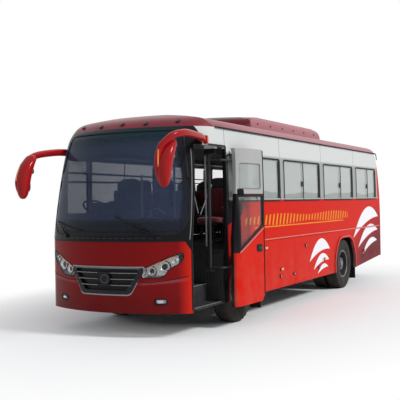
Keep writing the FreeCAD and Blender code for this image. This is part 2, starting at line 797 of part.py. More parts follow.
def make_grille(mouth):
    """Rim, cross bars and round boss over a closed back."""
    hollow = front_cut(grille_outline(GRILLE_RIM_TOP, GRILLE_RIM_SIDE, GRILLE_RIM_LOW), GRILLE_CORNER_RADIUS)
    rim = mouth.cut(hollow)
    bars = []
    for i in range(GRILLE_BARS):
        middle = GRILLE_BOSS_Z + GRILLE_BAR_PITCH * (i - (GRILLE_BARS - 1) / 2)
        bars.append(front_cut(rectangle(-GRILLE_TOP_HALF, GRILLE_TOP_HALF, middle - GRILLE_BAR / 2,
                                        middle + GRILLE_BAR / 2), 0).common(mouth))
    boss = nose_bar(0, GRILLE_BOSS_Z, GRILLE_BOSS_RADIUS)
    front = lower_skin(-GRILLE_PROUD, GRILLE_DEPTH).common(rim.multiFuse(bars + [boss]))
    return front.fuse(lower_skin(GRILLE_DEPTH, WALL).common(mouth)).removeSplitter()


def make_glass():
    cutters = [left_band(outline, WINDOW_RADIUS) for outline in window_outlines()]
    cutters.append(left_band(cab_window_outline(), WINDOW_RADIUS))
    cutters.append(front_cut(screen_outline(), SCREEN_CORNER_RADIUS))
    cutters.append(rear_window_cut())
    panes = upper_pieces(GLASS_SET, GLASS_SET + GLASS_THICKNESS, cutters)
    sides = panes[:-3]
    export("windscreen", panes[-2])
    export("side_windows", sides + [mirrored(pane) for pane in sides] + [mirrored(panes[-3])])
    export("rear_window", panes[-1])


def rear_window_cut():
    outline = rectangle(-REAR_WINDOW_HALF, REAR_WINDOW_HALF, REAR_WINDOW_LOW_Z, REAR_WINDOW_HIGH_Z)
    return prism("YZ", outline, at(BODY_LENGTH + OVERRUN), at(TAIL_JOINT_BACK), REAR_WINDOW_RADIUS)


def lid_cut(gap):
    outline = rectangle(gap - LID_HALF, LID_HALF - gap, LID_LOW_Z + gap, LID_HIGH_Z - gap)
    return prism("YZ", outline, at(BODY_LENGTH + OVERRUN), at(TAIL_JOINT_BACK), LID_RADIUS)


def tail_lamp_cut():
    outline = centred(TAIL_LAMP_Y, TAIL_LAMP_Z, TAIL_LAMP_WIDTH, TAIL_LAMP_HEIGHT)
    return prism("YZ", outline, at(BODY_LENGTH + OVERRUN), at(TAIL_JOINT_BACK), LAMP_CORNER_RADIUS)


def make_tail(skin):
    lamp_skin = lower_skin(0, WALL)
    lamps = both(tail_lamp_cut())
    wall = skin.common(tail_region())
    wall = wall.cut(Part.makeCompound(lamps + [lid_cut(0), rear_window_cut()]))
    export("rear_wall", hinged_frame(wall, lid_hinges()))
    export("engine_lid", hinged_panel(skin.common(lid_cut(SEAM)), lid_hinges()))
    export("tail_lamps", [lamp_skin.common(lamp) for lamp in lamps])


def hinge_bars(start, along, length, ear):
    """Round middle knuckle, its two ears, and the room cut for each, in one line."""
    middle = rod(start, start + along * length, HINGE_RADIUS)
    ear_starts = (start - along * (ear + HINGE_GAP), start + along * (length + HINGE_GAP))
    ears = [rod(place, place + along * ear, HINGE_RADIUS) for place in ear_starts]
    wide = HINGE_RADIUS + HINGE_ROOM
    middle_room = rod(start - along * HINGE_GAP, start + along * (length + HINGE_GAP), wide)
    room = ear + HINGE_GAP
    ear_rooms = [rod(place - along * HINGE_GAP, place + along * room, wide) for place in ear_starts]
    return middle, ears, middle_room, ear_rooms


def flap_hinges(front, rear):
    """Two hinges along the top edge of a luggage flap on the left side."""
    y = HALF_WIDTH + HINGE_OUT
    z = FLAP_TOP_Z - HINGE_DROP
    span = rear - front
    places = (front + span * HINGE_SHARE, rear - span * HINGE_SHARE)
    return [hinge_bars(vec(at(back), y, z), vec(1, 0, 0), HINGE_LENGTH, HINGE_EAR) for back in places]


def lid_hinges():
    x = at(BODY_LENGTH) + HINGE_DROP
    z = LID_HIGH_Z - HINGE_DROP
    return [hinge_bars(vec(x, y, z), vec(0, 1, 0), HINGE_LENGTH, HINGE_EAR)
            for y in (-LID_HINGE_Y - HINGE_LENGTH, LID_HINGE_Y)]


def hinged_frame(wall, hinges):
    """Wall with the hinge ears on it and room cut for the knuckles."""
    for middle, ears, middle_room, ear_rooms in hinges:
        wall = wall.cut(middle_room).multiFuse(ears)
    return wall.removeSplitter()


def hinged_panel(panel, hinges):
    for middle, ears, middle_room, ear_rooms in hinges:
        panel = panel.cut(Part.makeCompound(ear_rooms)).fuse(middle)
    return panel.removeSplitter()


def flap_spans():
    return (("front", BAY_FRONT_BACK, BAY_SPLIT_BACK), ("rear", BAY_SPLIT_BACK, BAY_REAR_BACK))


def make_flaps(skin):
    for name, front, rear in flap_spans():
        panel = skin.common(left_band(flap_outline(front, rear, SEAM / 2)))
        panel = panel.cut(box(at(rear), at(front), 0, BODY_WIDTH, FLAP_TOP_Z - SEAM, FLAP_TOP_Z + SEAM))
        panel = hinged_panel(panel, flap_hinges(front, rear))
        export("luggage_flap_left_" + name, panel)
        export("luggage_flap_right_" + name, mirrored(panel))


# Floor, steps and guards


def well_inner_y():
    return HALF_WIDTH - WALL - STEPS * STEP_TREAD


def step_places():
    """Level and inner edge of each tread, from the lowest inwards."""
    rise = (FLOOR_Z - STEP_Z) / STEPS
    return [(STEP_Z + rise * i, HALF_WIDTH - WALL - STEP_TREAD * (i + 1)) for i in range(STEPS)]


def step_plates(rear, front):
    """A tread and a riser for each step."""
    plates = []
    outer = HALF_WIDTH
    for (z, edge), (next_z, _) in zip(step_places(), step_places()[1:] + [(FLOOR_Z, 0)]):
        plates.append(box(rear, front, edge, outer, z - STEP_PLATE, z))
        plates.append(box(rear, front, edge - STEP_PLATE, edge, z - STEP_PLATE, next_z - STEP_PLATE))
        outer = edge
    plates.append(box(rear, front, edge - STEP_PLATE, edge, FLOOR_Z - STEP_PLATE, FLOOR_Z))
    return plates


def well_end(x_low, x_high, top):
    """Upright end wall whose foot follows the steps."""
    outline = [(HALF_WIDTH, top), (HALF_WIDTH, STEP_Z - STEP_PLATE)]
    for (z, edge), (next_z, _) in zip(step_places(), step_places()[1:] + [(top + STEP_PLATE, 0)]):
        outline += [(edge - STEP_PLATE, z - STEP_PLATE), (edge - STEP_PLATE, next_z - STEP_PLATE)]
    return prism("YZ", outline, x_low, x_high)


def step_well():
    """Treads and risers between two end walls, with the seat of the door's post on the rear one."""
    front = at(WELL_FRONT_BACK)
    rear = at(DOOR_REAR_BACK)
    inside = rear + WELL_WALL
    floor = FLOOR_Z - FLOOR_THICKNESS
    ends = [well_end(rear, inside, floor), well_end(front - WELL_WALL, front, FLOOR_Z)]
    top = POST_LOW_Z - POST_SEAT_GAP
    low = top - BRACKET_HEIGHT
    half = POST_SEAT_HALF
    seat = box(POST_X - half, POST_X + half, POST_Y - half, POST_Y + half, low, top)
    strut = box(inside, POST_X, POST_Y - POST_RADIUS, POST_Y + POST_RADIUS, low, top)
    return step_plates(inside, front - WELL_WALL) + ends + [seat.fuse(strut).removeSplitter()]


def deck_plates():
    """Floor behind the doorway, beside the steps and ahead of them."""
    low = FLOOR_Z - FLOOR_THICKNESS
    inner = well_inner_y() - STEP_PLATE
    return [box(at(FLOOR_REAR_BACK), at(DOOR_REAR_BACK), -HALF_WIDTH, HALF_WIDTH, low, FLOOR_Z),
            box(at(DOOR_REAR_BACK), at(WELL_FRONT_BACK), -HALF_WIDTH, inner, low, FLOOR_Z),
            box(at(WELL_FRONT_BACK), at(FLOOR_FRONT_BACK), -HALF_WIDTH, HALF_WIDTH, low, FLOOR_Z)]


def rear_shelf(cavity):
    """Upright panel and shelf that close the cabin off from the engine bay."""
    wall_x = at(FLOOR_REAR_BACK)
    front = wall_x + SHELF_THICKNESS
    under = SHELF_Z - SHELF_THICKNESS
    panel = box(wall_x, front, -HALF_WIDTH, HALF_WIDTH, FLOOR_Z, under)
    shelf = box(at(BODY_LENGTH), front, -HALF_WIDTH, HALF_WIDTH, under, SHELF_Z)
    return [panel.common(cavity), shelf.common(cavity)]


def wheel_guards(front_back, rear_back, inner, has_front):
    """Upright walls round one wheel space on the left, open to the road."""
    outer = HALF_WIDTH - WALL
    floor = FLOOR_Z - FLOOR_THICKNESS
    side = box(at(rear_back), at(front_back), inner, inner + GUARD, GUARD_LOW_Z, floor)
    rear = box(at(rear_back) - GUARD, at(rear_back), inner, outer, GUARD_FOOT_Z, floor)
    front = box(at(front_back), at(front_back) + GUARD, inner, outer, GUARD_FOOT_Z, floor)
    return [side, rear, front] if has_front else [side, rear]


def make_floor(cavity):
    rear_front = REAR_AXLE_BACK - REAR_GUARD_HALF
    rear_rear = REAR_AXLE_BACK + REAR_GUARD_HALF
    room = lower_hull(WALL + MOVING_GAP, SKIRT_Z)
    plates = [plate.common(room) for plate in deck_plates() + step_well()]
    plates += rear_shelf(cavity)
    front_span = (DOOR_REAR_BACK, FRONT_GUARD_REAR_BACK, FRONT_GUARD_Y)
    plates += wheel_guards(*front_span, False)
    plates += [mirrored(wall) for wall in wheel_guards(*front_span, True)]
    for wall in wheel_guards(rear_front, rear_rear, REAR_GUARD_Y, True):
        plates += both(wall)
    export("floor_deck", plates)


def luggage_tray():
    """Floor, inner wall and three cross walls of the left tray between the axles, open to the outside."""
    front = at(BAY_FRONT_BACK + BAY_MARGIN)
    rear = at(BAY_REAR_BACK - BAY_MARGIN)
    inner = RAIL_INNER_Y + RAIL_FLANGE
    outer = HALF_WIDTH - WALL - MOVING_GAP
    low = BAY_FLOOR_Z + BAY_WALL
    top = FLOOR_Z - FLOOR_THICKNESS
    walls = [box(x, x + BAY_WALL, inner + BAY_WALL, outer, low, top)
             for x in (rear, at(BAY_SPLIT_BACK) - BAY_WALL / 2, front - BAY_WALL)]
    return walls + [box(rear, front, inner, inner + BAY_WALL, low, top),
                    box(rear, front, inner, outer, BAY_FLOOR_Z, low)]


def make_mud_sheets():
    front = box(at(FRONT_GUARD_REAR_BACK) - GUARD - MUD_SHEET, at(FRONT_GUARD_REAR_BACK) - GUARD,
                HALF_WIDTH - WALL - MUD_FRONT_WIDTH, HALF_WIDTH - WALL, MUD_LOW_Z, MUD_HIGH_Z)
    rear_x = at(REAR_AXLE_BACK + REAR_GUARD_HALF) - GUARD
    rear = box(rear_x - MUD_SHEET, rear_x, HALF_WIDTH - WALL - MUD_REAR_WIDTH, HALF_WIDTH - WALL,
               MUD_LOW_Z, MUD_HIGH_Z)
    export("mud_flaps", both(front) + both(rear))


# Chassis and running gear


def rail_outline():
    inner = RAIL_INNER_Y
    outer = RAIL_INNER_Y + RAIL_FLANGE
    return [(inner, RAIL_LOW_Z), (outer, RAIL_LOW_Z), (outer, RAIL_HIGH_Z), (inner, RAIL_HIGH_Z),
            (inner, RAIL_HIGH_Z - RAIL_WEB), (outer - RAIL_WEB, RAIL_HIGH_Z - RAIL_WEB),
            (outer - RAIL_WEB, RAIL_LOW_Z + RAIL_WEB), (inner, RAIL_LOW_Z + RAIL_WEB)]


def tow_eye(x_root, direction):
    """Plate on the frame's end with a bored eye that hangs below the bumper line."""
    tip = x_root + direction * TOW_LENGTH
    half = TOW_PLATE / 2
    plate = box(min(x_root, tip), max(x_root, tip), -half, half, TOW_Z - TOW_EYE_RADIUS, RAIL_LOW_Z)
    eye = barrel(tip, TOW_Z, -half, half, TOW_EYE_RADIUS)
    return plate.fuse(eye).cut(barrel(tip, TOW_Z, -TOW_PLATE, TOW_PLATE, TOW_BORE_RADIUS))


def make_chassis(cavity):
    rails = both(prism("YZ", rail_outline(), at(RAIL_REAR_BACK), at(RAIL_FRONT_BACK)))
    floor = FLOOR_Z - FLOOR_THICKNESS
    bearers = []
    for back in WIDE_BEARER_BACKS:
        beam = box(at(back) - BEARER_WIDTH, at(back), -HALF_WIDTH, HALF_WIDTH, RAIL_HIGH_Z, floor)
        bearers.append(beam.common(cavity))
    inner = RAIL_INNER_Y
    for back in NARROW_BEARER_BACKS:
        bearers.append(box(at(back) - BEARER_WIDTH, at(back), -inner, inner, RAIL_HIGH_Z - RAIL_WEB, floor))
    for x_low in (at(RAIL_FRONT_BACK) - RAIL_FLANGE, at(RAIL_REAR_BACK)):
        bearers.append(box(x_low, x_low + RAIL_FLANGE, -inner, inner, RAIL_LOW_Z, RAIL_HIGH_Z))
    eyes = [tow_eye(at(RAIL_FRONT_BACK) - RAIL_FLANGE, 1), tow_eye(at(RAIL_REAR_BACK) + RAIL_FLANGE, -1)]
    export("chassis_frame", rails + bearers + eyes)


def make_springs():
    packs = []
    for back in (FRONT_AXLE_BACK, REAR_AXLE_BACK):
        leaves = []
        for i in range(SPRING_LEAVES):
            half = (SPRING_LENGTH - SPRING_STEP * i) / 2
            top = BEAM_TOP_Z + SPRING_LEAF * (SPRING_LEAVES - i)
            leaves.append(box(at(back) - half, at(back) + half, RAIL_INNER_Y, RAIL_INNER_Y + RAIL_FLANGE,
                              top - SPRING_LEAF, top))
        high = BEAM_TOP_Z + SPRING_LEAF * SPRING_LEAVES
        for x_low in (at(back) - SPRING_LENGTH / 2, at(back) + SPRING_LENGTH / 2 - SHACKLE_LENGTH):
            leaves.append(box(x_low, x_low + SHACKLE_LENGTH, RAIL_INNER_Y, RAIL_INNER_Y + RAIL_FLANGE, high,
                              RAIL_LOW_Z))
        packs += both(fuse(leaves))
    export("leaf_springs", packs)


def make_front_beam():
    top = BEAM_TOP_Z
    low = BEAM_TOP_Z - BEAM_HEIGHT
    outline = [(-KINGPIN_Y, top), (-BEAM_RISE_HALF, top), (-BEAM_DROP_HALF, top - BEAM_DROP),
               (BEAM_DROP_HALF, top - BEAM_DROP), (BEAM_RISE_HALF, top), (KINGPIN_Y, top), (KINGPIN_Y, low),
               (BEAM_RISE_HALF, low), (BEAM_DROP_HALF, low - BEAM_DROP), (-BEAM_DROP_HALF, low - BEAM_DROP),
               (-BEAM_RISE_HALF, low), (-KINGPIN_Y, low)]
    x = at(FRONT_AXLE_BACK)
    beam = prism("YZ", outline, x - BEAM_WIDTH / 2, x + BEAM_WIDTH / 2)
    eyes = both(disc(x, KINGPIN_Y, low, top, EYE_RADIUS))
    bores = both(disc(x, KINGPIN_Y, low - OVERRUN, top + OVERRUN, KINGPIN_RADIUS + KINGPIN_CLEARANCE))
    export("front_axle_beam", beam.multiFuse(eyes).cut(Part.makeCompound(bores)))


def knuckle():
    """Left fork, kingpin, wheel spindle and steering arm."""
    x = at(FRONT_AXLE_BACK)
    top = BEAM_TOP_Z + FORK_GAP
    low = BEAM_TOP_Z - BEAM_HEIGHT - FORK_GAP
    web_y = KINGPIN_Y + FORK_WEB_SET
    parts = [disc(x, KINGPIN_Y, low - FORK_HEIGHT, top + FORK_HEIGHT, KINGPIN_RADIUS)]
    for bottom in (top, low - FORK_HEIGHT):
        parts.append(disc(x, KINGPIN_Y, bottom, bottom + FORK_HEIGHT, EYE_RADIUS))
        parts.append(box(x - EYE_RADIUS, x + EYE_RADIUS, KINGPIN_Y, web_y, bottom, bottom + FORK_HEIGHT))
    parts.append(box(x - FORK_WEB_HALF, x + FORK_WEB_HALF, web_y, web_y + FORK_WEB, low - FORK_HEIGHT,
                     top + FORK_HEIGHT))
    parts.append(barrel(x, WHEEL_RADIUS, web_y, FRONT_WHEEL_Y + SPINDLE_PAST, SPINDLE_RADIUS))
    arm_low = low - FORK_HEIGHT
    tip = x - STEER_ARM
    parts.append(box(tip, x, KINGPIN_Y - STEER_ARM_WIDTH / 2, KINGPIN_Y + STEER_ARM_WIDTH / 2, arm_low,
                     arm_low + STEER_ARM_THICKNESS))
    parts.append(disc(tip, KINGPIN_Y, arm_low, arm_low + STEER_ARM_THICKNESS, STEER_ARM_WIDTH / 2))
    parts.append(disc(tip, KINGPIN_Y, arm_low - TIE_GAP - TIE_ROD_HEIGHT, arm_low, TIE_PIN_RADIUS))
    return fuse(parts)


def make_tie_rod():
    x = at(FRONT_AXLE_BACK) - STEER_ARM
    high = BEAM_TOP_Z - BEAM_HEIGHT - FORK_GAP - FORK_HEIGHT - TIE_GAP
    low = high - TIE_ROD_HEIGHT
    parts = [rod(vec(x, -KINGPIN_Y, (low + high) / 2), vec(x, KINGPIN_Y, (low + high) / 2), TIE_ROD_RADIUS)]
    parts += both(disc(x, KINGPIN_Y, low, high, TIE_EYE_RADIUS))
    bores = both(disc(x, KINGPIN_Y, low - TIE_GAP, high + TIE_GAP, TIE_PIN_RADIUS + LEAF_PIN_CLEARANCE))
    export("tie_rod", fuse(parts).cut(Part.makeCompound(bores)))


def rim(y_middle, face_y):
    """Rim and dished disc of one wheel; the disc's flat face lies at face_y."""
    half = RIM_WIDTH / 2
    well = RIM_RADIUS - RIM_LIP
    side = 1 if face_y > y_middle else -1
    root = y_middle + side * RIM_WIDTH * DISC_ROOT_SHARE
    ring = revolve_y([(y_middle - half, RIM_RADIUS), (y_middle - half, well - RIM_WALL),
                      (y_middle + half, well - RIM_WALL), (y_middle + half, RIM_RADIUS)], 0, 0)
    inner_face = face_y - side * DISC_THICKNESS
    outside = [(face_y, 0), (face_y, DISC_FLAT_RADIUS), (root, well)]
    inner_flat = DISC_FLAT_RADIUS - DISC_THICKNESS
    inside = [(root - side * DISC_THICKNESS, well), (inner_face, inner_flat), (inner_face, 0)]
    bowl = revolve_y(outside + inside, 0, 0)
    holes = []
    for i in range(DISC_HOLES):
        angle = 2 * math.pi * i / DISC_HOLES
        holes.append(barrel(DISC_HOLE_CIRCLE * math.cos(angle), DISC_HOLE_CIRCLE * math.sin(angle),
                            y_middle - OVERRUN, y_middle + OVERRUN, DISC_HOLE_RADIUS))
    return ring.fuse(bowl).cut(Part.makeCompound(holes))


def tyre(y_middle):
    half = TYRE_WIDTH / 2
    seat = RIM_WIDTH / 2
    sections = TYRE_SHARES
    height = WHEEL_RADIUS - RIM_RADIUS
    right = [(y_middle + half * across, RIM_RADIUS + height * up) for across, up in sections]
    left = [(2 * y_middle - y, r) for y, r in right[::-1]]
    inner = [(y_middle - seat, RIM_RADIUS), (y_middle + seat, RIM_RADIUS)]
    return revolve_y(inner + right + left, 0, 0)


def placed(shape, back):
    moved = shape.copy()
    moved.translate(vec(at(back), 0, WHEEL_RADIUS))
    return moved


def make_front_wheels():
    hub_in = KINGPIN_Y + FORK_WEB_SET + FORK_WEB + HUB_GAP
    disc_y = FRONT_WHEEL_Y + RIM_WIDTH / 2 - DISC_THICKNESS - RIM_LIP
    hub = barrel(0, 0, hub_in, disc_y + HUB_CAP + DISC_THICKNESS, HUB_RADIUS)
    bore = barrel(0, 0, hub_in - HUB_GAP, FRONT_WHEEL_Y + SPINDLE_PAST + SPINDLE_CLEARANCE,
                  SPINDLE_RADIUS + SPINDLE_CLEARANCE)
    wheel = placed(rim(FRONT_WHEEL_Y, disc_y).fuse(hub).cut(bore).removeSplitter(), FRONT_AXLE_BACK)
    rubber = placed(tyre(FRONT_WHEEL_Y), FRONT_AXLE_BACK)
    export("front_wheel_left", wheel)
    export("front_wheel_right", mirrored(wheel))
    export("front_tyre_left", rubber)
    export("front_tyre_right", mirrored(rubber))


def make_rear_wheels():
    seam = (REAR_INNER_Y + REAR_OUTER_Y) / 2
    outer = rim(REAR_OUTER_Y, seam)
    inner = rim(REAR_INNER_Y, seam)
    spindle_end = REAR_OUTER_Y + REAR_SPINDLE_PAST
    hub = barrel(0, 0, AXLE_TUBE_HALF + HUB_GAP, spindle_end + HUB_CAP, REAR_HUB_RADIUS)
    bore_end = spindle_end + SPINDLE_CLEARANCE
    bore = barrel(0, 0, AXLE_TUBE_HALF, bore_end, REAR_SPINDLE_RADIUS + SPINDLE_CLEARANCE)
    wheel = placed(outer.multiFuse([inner, hub]).cut(bore).removeSplitter(), REAR_AXLE_BACK)
    rubbers = [placed(tyre(y), REAR_AXLE_BACK) for y in (REAR_OUTER_Y, REAR_INNER_Y)]
    export("rear_wheels_left", wheel)
    export("rear_wheels_right", mirrored(wheel))
    export("rear_tyres_left", rubbers)
    export("rear_tyres_right", [mirrored(r) for r in rubbers])


def make_rear_axle():
    x = at(REAR_AXLE_BACK)
    tube = barrel(x, WHEEL_RADIUS, -AXLE_TUBE_HALF, AXLE_TUBE_HALF, AXLE_TUBE_RADIUS)
    spindle_end = REAR_OUTER_Y + REAR_SPINDLE_PAST
    spindle = barrel(x, WHEEL_RADIUS, -spindle_end, spindle_end, REAR_SPINDLE_RADIUS)
    case = Part.makeSphere(DIFF_RADIUS, vec(x, 0, WHEEL_RADIUS)).common(
        box(x - DIFF_HALF, x + DIFF_RADIUS, -DIFF_RADIUS, DIFF_RADIUS, 0, BODY_WIDTH))
    half = JACK_PAD_HALF
    under = WHEEL_RADIUS - AXLE_TUBE_RADIUS - JACK_PAD_DROP
    pads = both(box(x - half, x + half, JACK_PAD_Y - half, JACK_PAD_Y + half, under, WHEEL_RADIUS))
    export("rear_axle", fuse([tube, spindle, case] + pads))


def make_engine():
    block = box(at(ENGINE_REAR_BACK), at(ENGINE_FRONT_BACK), -RAIL_INNER_Y, RAIL_INNER_Y, ENGINE_LOW_Z,
                ENGINE_HIGH_Z - OVERRUN)
    head = box(at(ENGINE_REAR_BACK) + ENGINE_EDGE, at(ENGINE_FRONT_BACK) - ENGINE_EDGE,
               -RAIL_INNER_Y + ENGINE_EDGE, RAIL_INNER_Y - ENGINE_EDGE, ENGINE_LOW_Z, ENGINE_HIGH_Z)
    export("engine_block", fuse([block, head]))


# Doorway


def sweep_angles():
    """Arm directions from straight ahead, turning outwards: closed, then open."""
    inset = LEAF_PIN_Y - POST_Y
    return math.asin(inset / ARM_REACH), math.pi - math.asin((inset + DOOR_OUTSET) / ARM_REACH)


def arm_tip(angle):
    return vec(POST_X + ARM_REACH * math.cos(angle), POST_Y + ARM_REACH * math.sin(angle), 0)


def opened(shape):
    """Move a piece of the leaf from the closed door to the open door."""
    closed, open_ = [arm_tip(angle) for angle in sweep_angles()]
    moved = shape.copy()
    moved.translate(open_ - closed)
    moved.rotate(open_, vec(0, 0, 1), -DOOR_TOE)
    return moved


def leaf_window_outlines():
    """Upper light, and the lower light that slants down towards the front edge."""
    low_rear = at(DOOR_REAR_BACK - LEAF_STILE)
    front = at(joint_back(BELT_Z) + LEAF_STILE)
    upper_rear = at(DOOR_REAR_BACK - UPPER_LIGHT_MARGIN)
    upper = joint_line(UPPER_LIGHT_LOW_Z, UPPER_LIGHT_HIGH_Z, UPPER_LIGHT_STILE)
    upper += [(upper_rear, UPPER_LIGHT_HIGH_Z), (upper_rear, UPPER_LIGHT_LOW_Z)]
    lower = [(front, LOWER_LIGHT_FRONT_Z), (front, LOWER_LIGHT_HIGH_Z), (low_rear, LOWER_LIGHT_HIGH_Z),
             (low_rear, LOWER_LIGHT_REAR_Z)]
    return upper, lower


def leaf_brackets():
    """Plates and upright pins that take the two arms, inside the closed leaf."""
    tip = arm_tip(sweep_angles()[0])
    parts = []
    for height in ARM_HEIGHTS:
        for low in (height - ARM_EYE_HEIGHT / 2 - BRACKET_GAP - BRACKET_HEIGHT,
                    height + ARM_EYE_HEIGHT / 2 + BRACKET_GAP):
            parts.append(box(tip.x - BRACKET_HALF, tip.x + BRACKET_HALF, tip.y - BRACKET_HALF, HALF_WIDTH,
                             low, low + BRACKET_HEIGHT))
        parts.append(disc(tip.x, tip.y, height - ARM_EYE_HEIGHT / 2 - BRACKET_HEIGHT,
                          height + ARM_EYE_HEIGHT / 2 + BRACKET_HEIGHT, LEAF_PIN_RADIUS))
    return parts


def make_door(skin, cavity):
    outline = left_band(door_outline(DOOR_GAP))
    upper, lower = leaf_window_outlines()
    lights = [left_band(upper, LIGHT_RADIUS), left_band(lower, LIGHT_RADIUS)]
    brackets = [bracket.common(cavity) for bracket in leaf_brackets()]
    leaf = skin.common(outline).cut(Part.makeCompound(lights)).multiFuse(brackets).removeSplitter()
    export("door_leaf", opened(leaf))
    panes = upper_pieces(GLASS_SET, GLASS_SET + GLASS_THICKNESS, lights)
    low_pane = lower_skin(GLASS_SET, GLASS_SET + GLASS_THICKNESS).common(lights[1])
    export("door_glass", [opened(panes[0]), opened(panes[1].fuse(low_pane).removeSplitter())])


def make_door_arms():
    """Post and two gooseneck arms, drawn with the door open."""
    tip = arm_tip(sweep_angles()[1])
    run_y = HALF_WIDTH + MOVING_GAP + ARM_RADIUS
    parts = [disc(POST_X, POST_Y, POST_LOW_Z, POST_HIGH_Z, POST_RADIUS)]
    bores = []
    for height in ARM_HEIGHTS:
        turns = ((POST_X, POST_Y), (POST_X, run_y), (tip.x + ARM_TURN, run_y), (tip.x, tip.y))
        points = [vec(x, y, height) for x, y in turns]
        parts.append(tube_path(points, ARM_RADIUS, ARM_BEND_RADIUS))
        low = height - ARM_EYE_HEIGHT / 2
        parts.append(disc(tip.x, tip.y, low, low + ARM_EYE_HEIGHT, ARM_EYE_RADIUS))
        bores.append(disc(tip.x, tip.y, low - ARM_EYE_HEIGHT, low + 2 * ARM_EYE_HEIGHT,
                          LEAF_PIN_RADIUS + LEAF_PIN_CLEARANCE))
    export("door_arms", fuse(parts).cut(Part.makeCompound(bores)))


# Cabin fittings


def seat(back, y_low, width):
    """One seat facing forward: cushion, back and headrest as one bent profile with a foot."""
    length = SEAT_DEPTH
    points = [(at(back) - length * across, FLOOR_Z + SEAT_HEIGHT * up) for across, up in SEAT_SHARES]
    body = prism("XZ", points, y_low, y_low + width, SEAT_RADIUS)
    foot = box(at(back) - length * (1 - SEAT_FOOT_SHARE), at(back) - length * SEAT_FOOT_SHARE,
               y_low + width * SEAT_FOOT_SHARE, y_low + width * (1 - SEAT_FOOT_SHARE), FLOOR_Z,
               FLOOR_Z + SEAT_CUSHION_Z - SEAT_RADIUS)
    return body.fuse(foot).removeSplitter()


def make_passenger_seats():
    outer = HALF_WIDTH - WALL - SEAT_WALL_GAP - SEAT_WALL_MARGIN
    seats = []
    for row in range(SEAT_ROWS):
        back = SEAT_FIRST_BACK + SEAT_PITCH * row
        for place in range(SEATS_ABREAST):
            y_low = outer - SEAT_WIDTH * (place + 1) - SEAT_GAP * place
            seats += both(seat(back, y_low, SEAT_WIDTH))
    last = SEAT_FIRST_BACK + SEAT_PITCH * SEAT_ROWS
    width = (2 * outer + SEAT_GAP) / BENCH_SEATS - SEAT_GAP
    for place in range(BENCH_SEATS):
        seats.append(seat(last, -outer + place * (width + SEAT_GAP), width))
    export("passenger_seats", seats)


def make_cab(cavity):
    export("driver_seat", seat(DRIVER_SEAT_BACK, -DRIVER_SEAT_Y - DRIVER_SEAT_WIDTH / 2, DRIVER_SEAT_WIDTH))
    front = at(-OVERRUN)
    points = [(at(DASH_DEPTH), FLOOR_Z), (front, FLOOR_Z), (front, DASH_TOP_Z),
              (at(DASH_DEPTH * DASH_TOP_SHARE), DASH_TOP_Z), (at(DASH_DEPTH), DASH_TOP_Z - DASH_DROP)]
    block = prism("XZ", points, -DASH_HALF, DASH_DOOR_Y).common(cavity)
    hub = vec(at(STEERING_BACK), -DRIVER_SEAT_Y, STEERING_Z)
    lean = math.radians(STEERING_TILT)
    along = vec(-math.sin(lean), 0, math.cos(lean))
    ring = Part.makeTorus(STEERING_RADIUS, STEERING_TUBE, hub, along)
    column = rod(hub - along * COLUMN_LENGTH, hub + along * STEERING_TUBE, COLUMN_RADIUS)
    across = vec(0, 1, 0)
    spokes = [rod(hub - across * STEERING_RADIUS, hub + across * STEERING_RADIUS, SPOKE_RADIUS)]
    export("dashboard", [block.fuse(column).multiFuse(spokes + [ring]).removeSplitter()])


def make_racks(cavity):
    """Overhead shelves that seat against the side walls."""
    top = RACK_Z + RACK_THICKNESS
    shelf = box(at(RACK_REAR_BACK), at(RACK_FRONT_BACK), RACK_INNER_Y, BODY_WIDTH, RACK_Z, top)
    export("luggage_racks", both(shelf.common(cavity)))


def make_handrails():
    """Poles from floor to roof beside the step well."""
    crown = ROOF_Z - WALL - POLE_Y * POLE_Y / (2 * ROOF_BOW_RADIUS)
    poles = [disc(at(POLE_BACK), POLE_Y, FLOOR_Z, crown - RAIL_TUBE / 2, RAIL_TUBE),
             disc(at(FRONT_POLE_BACK), POLE_Y, FLOOR_Z, FLOOR_Z + SEAT_HEIGHT, RAIL_TUBE)]
    export("handrails", poles)


# Outside fittings


def pod_wire(up, front_share, side_share):
    """Plan outline of the roof unit at one share of its height: a bowed front and straight sides."""
    level = POD_BASE_Z + (POD_TOP_Z - POD_BASE_Z) * up
    front = at(POD_FRONT_BACK + POD_NOSE * front_share)
    rear = at(POD_REAR_BACK - POD_TAIL * side_share)
    half = POD_HALF - POD_EDGE * side_share
    shoulder = front - POD_BOW
    turns = ((shoulder, half), (rear, half), (rear, -half), (shoulder, -half))
    corners = [vec(x, y, level) for x, y in turns]
    bow = Part.Arc(corners[-1], vec(front, 0, level), corners[0]).toShape()
    return Part.Wire([bow] + [Part.makeLine(start, end) for start, end in zip(corners, corners[1:])])


def make_roof_unit(outer):
    body = Part.makeLoft([pod_wire(*row) for row in POD_SHARES], True, False)
    export("roof_unit", body.cut(outer))


def mirror_head():
    """Left mirror housing: rounded sections stacked from the drooping tip to the shoulder."""
    x = at(-MIRROR_REACH) - MIRROR_HEAD_DEPTH / 2
    height = MIRROR_HEAD_HIGH_Z - MIRROR_HEAD_LOW_Z
    wires = []
    for up, across, lead in MIRROR_SHARES:
        half_x = MIRROR_HEAD_DEPTH * across / 2
        half_y = MIRROR_HEAD_WIDTH * across / 2
        centre = vec(x - MIRROR_HEAD_DEPTH * lead, MIRROR_HEAD_Y, MIRROR_HEAD_LOW_Z + height * up)
        ellipse = Part.Ellipse(centre + vec(0, half_y, 0), centre + vec(half_x, 0, 0), centre)
        wires.append(Part.Wire([ellipse.toShape()]))
    return Part.makeLoft(wires, True, False)


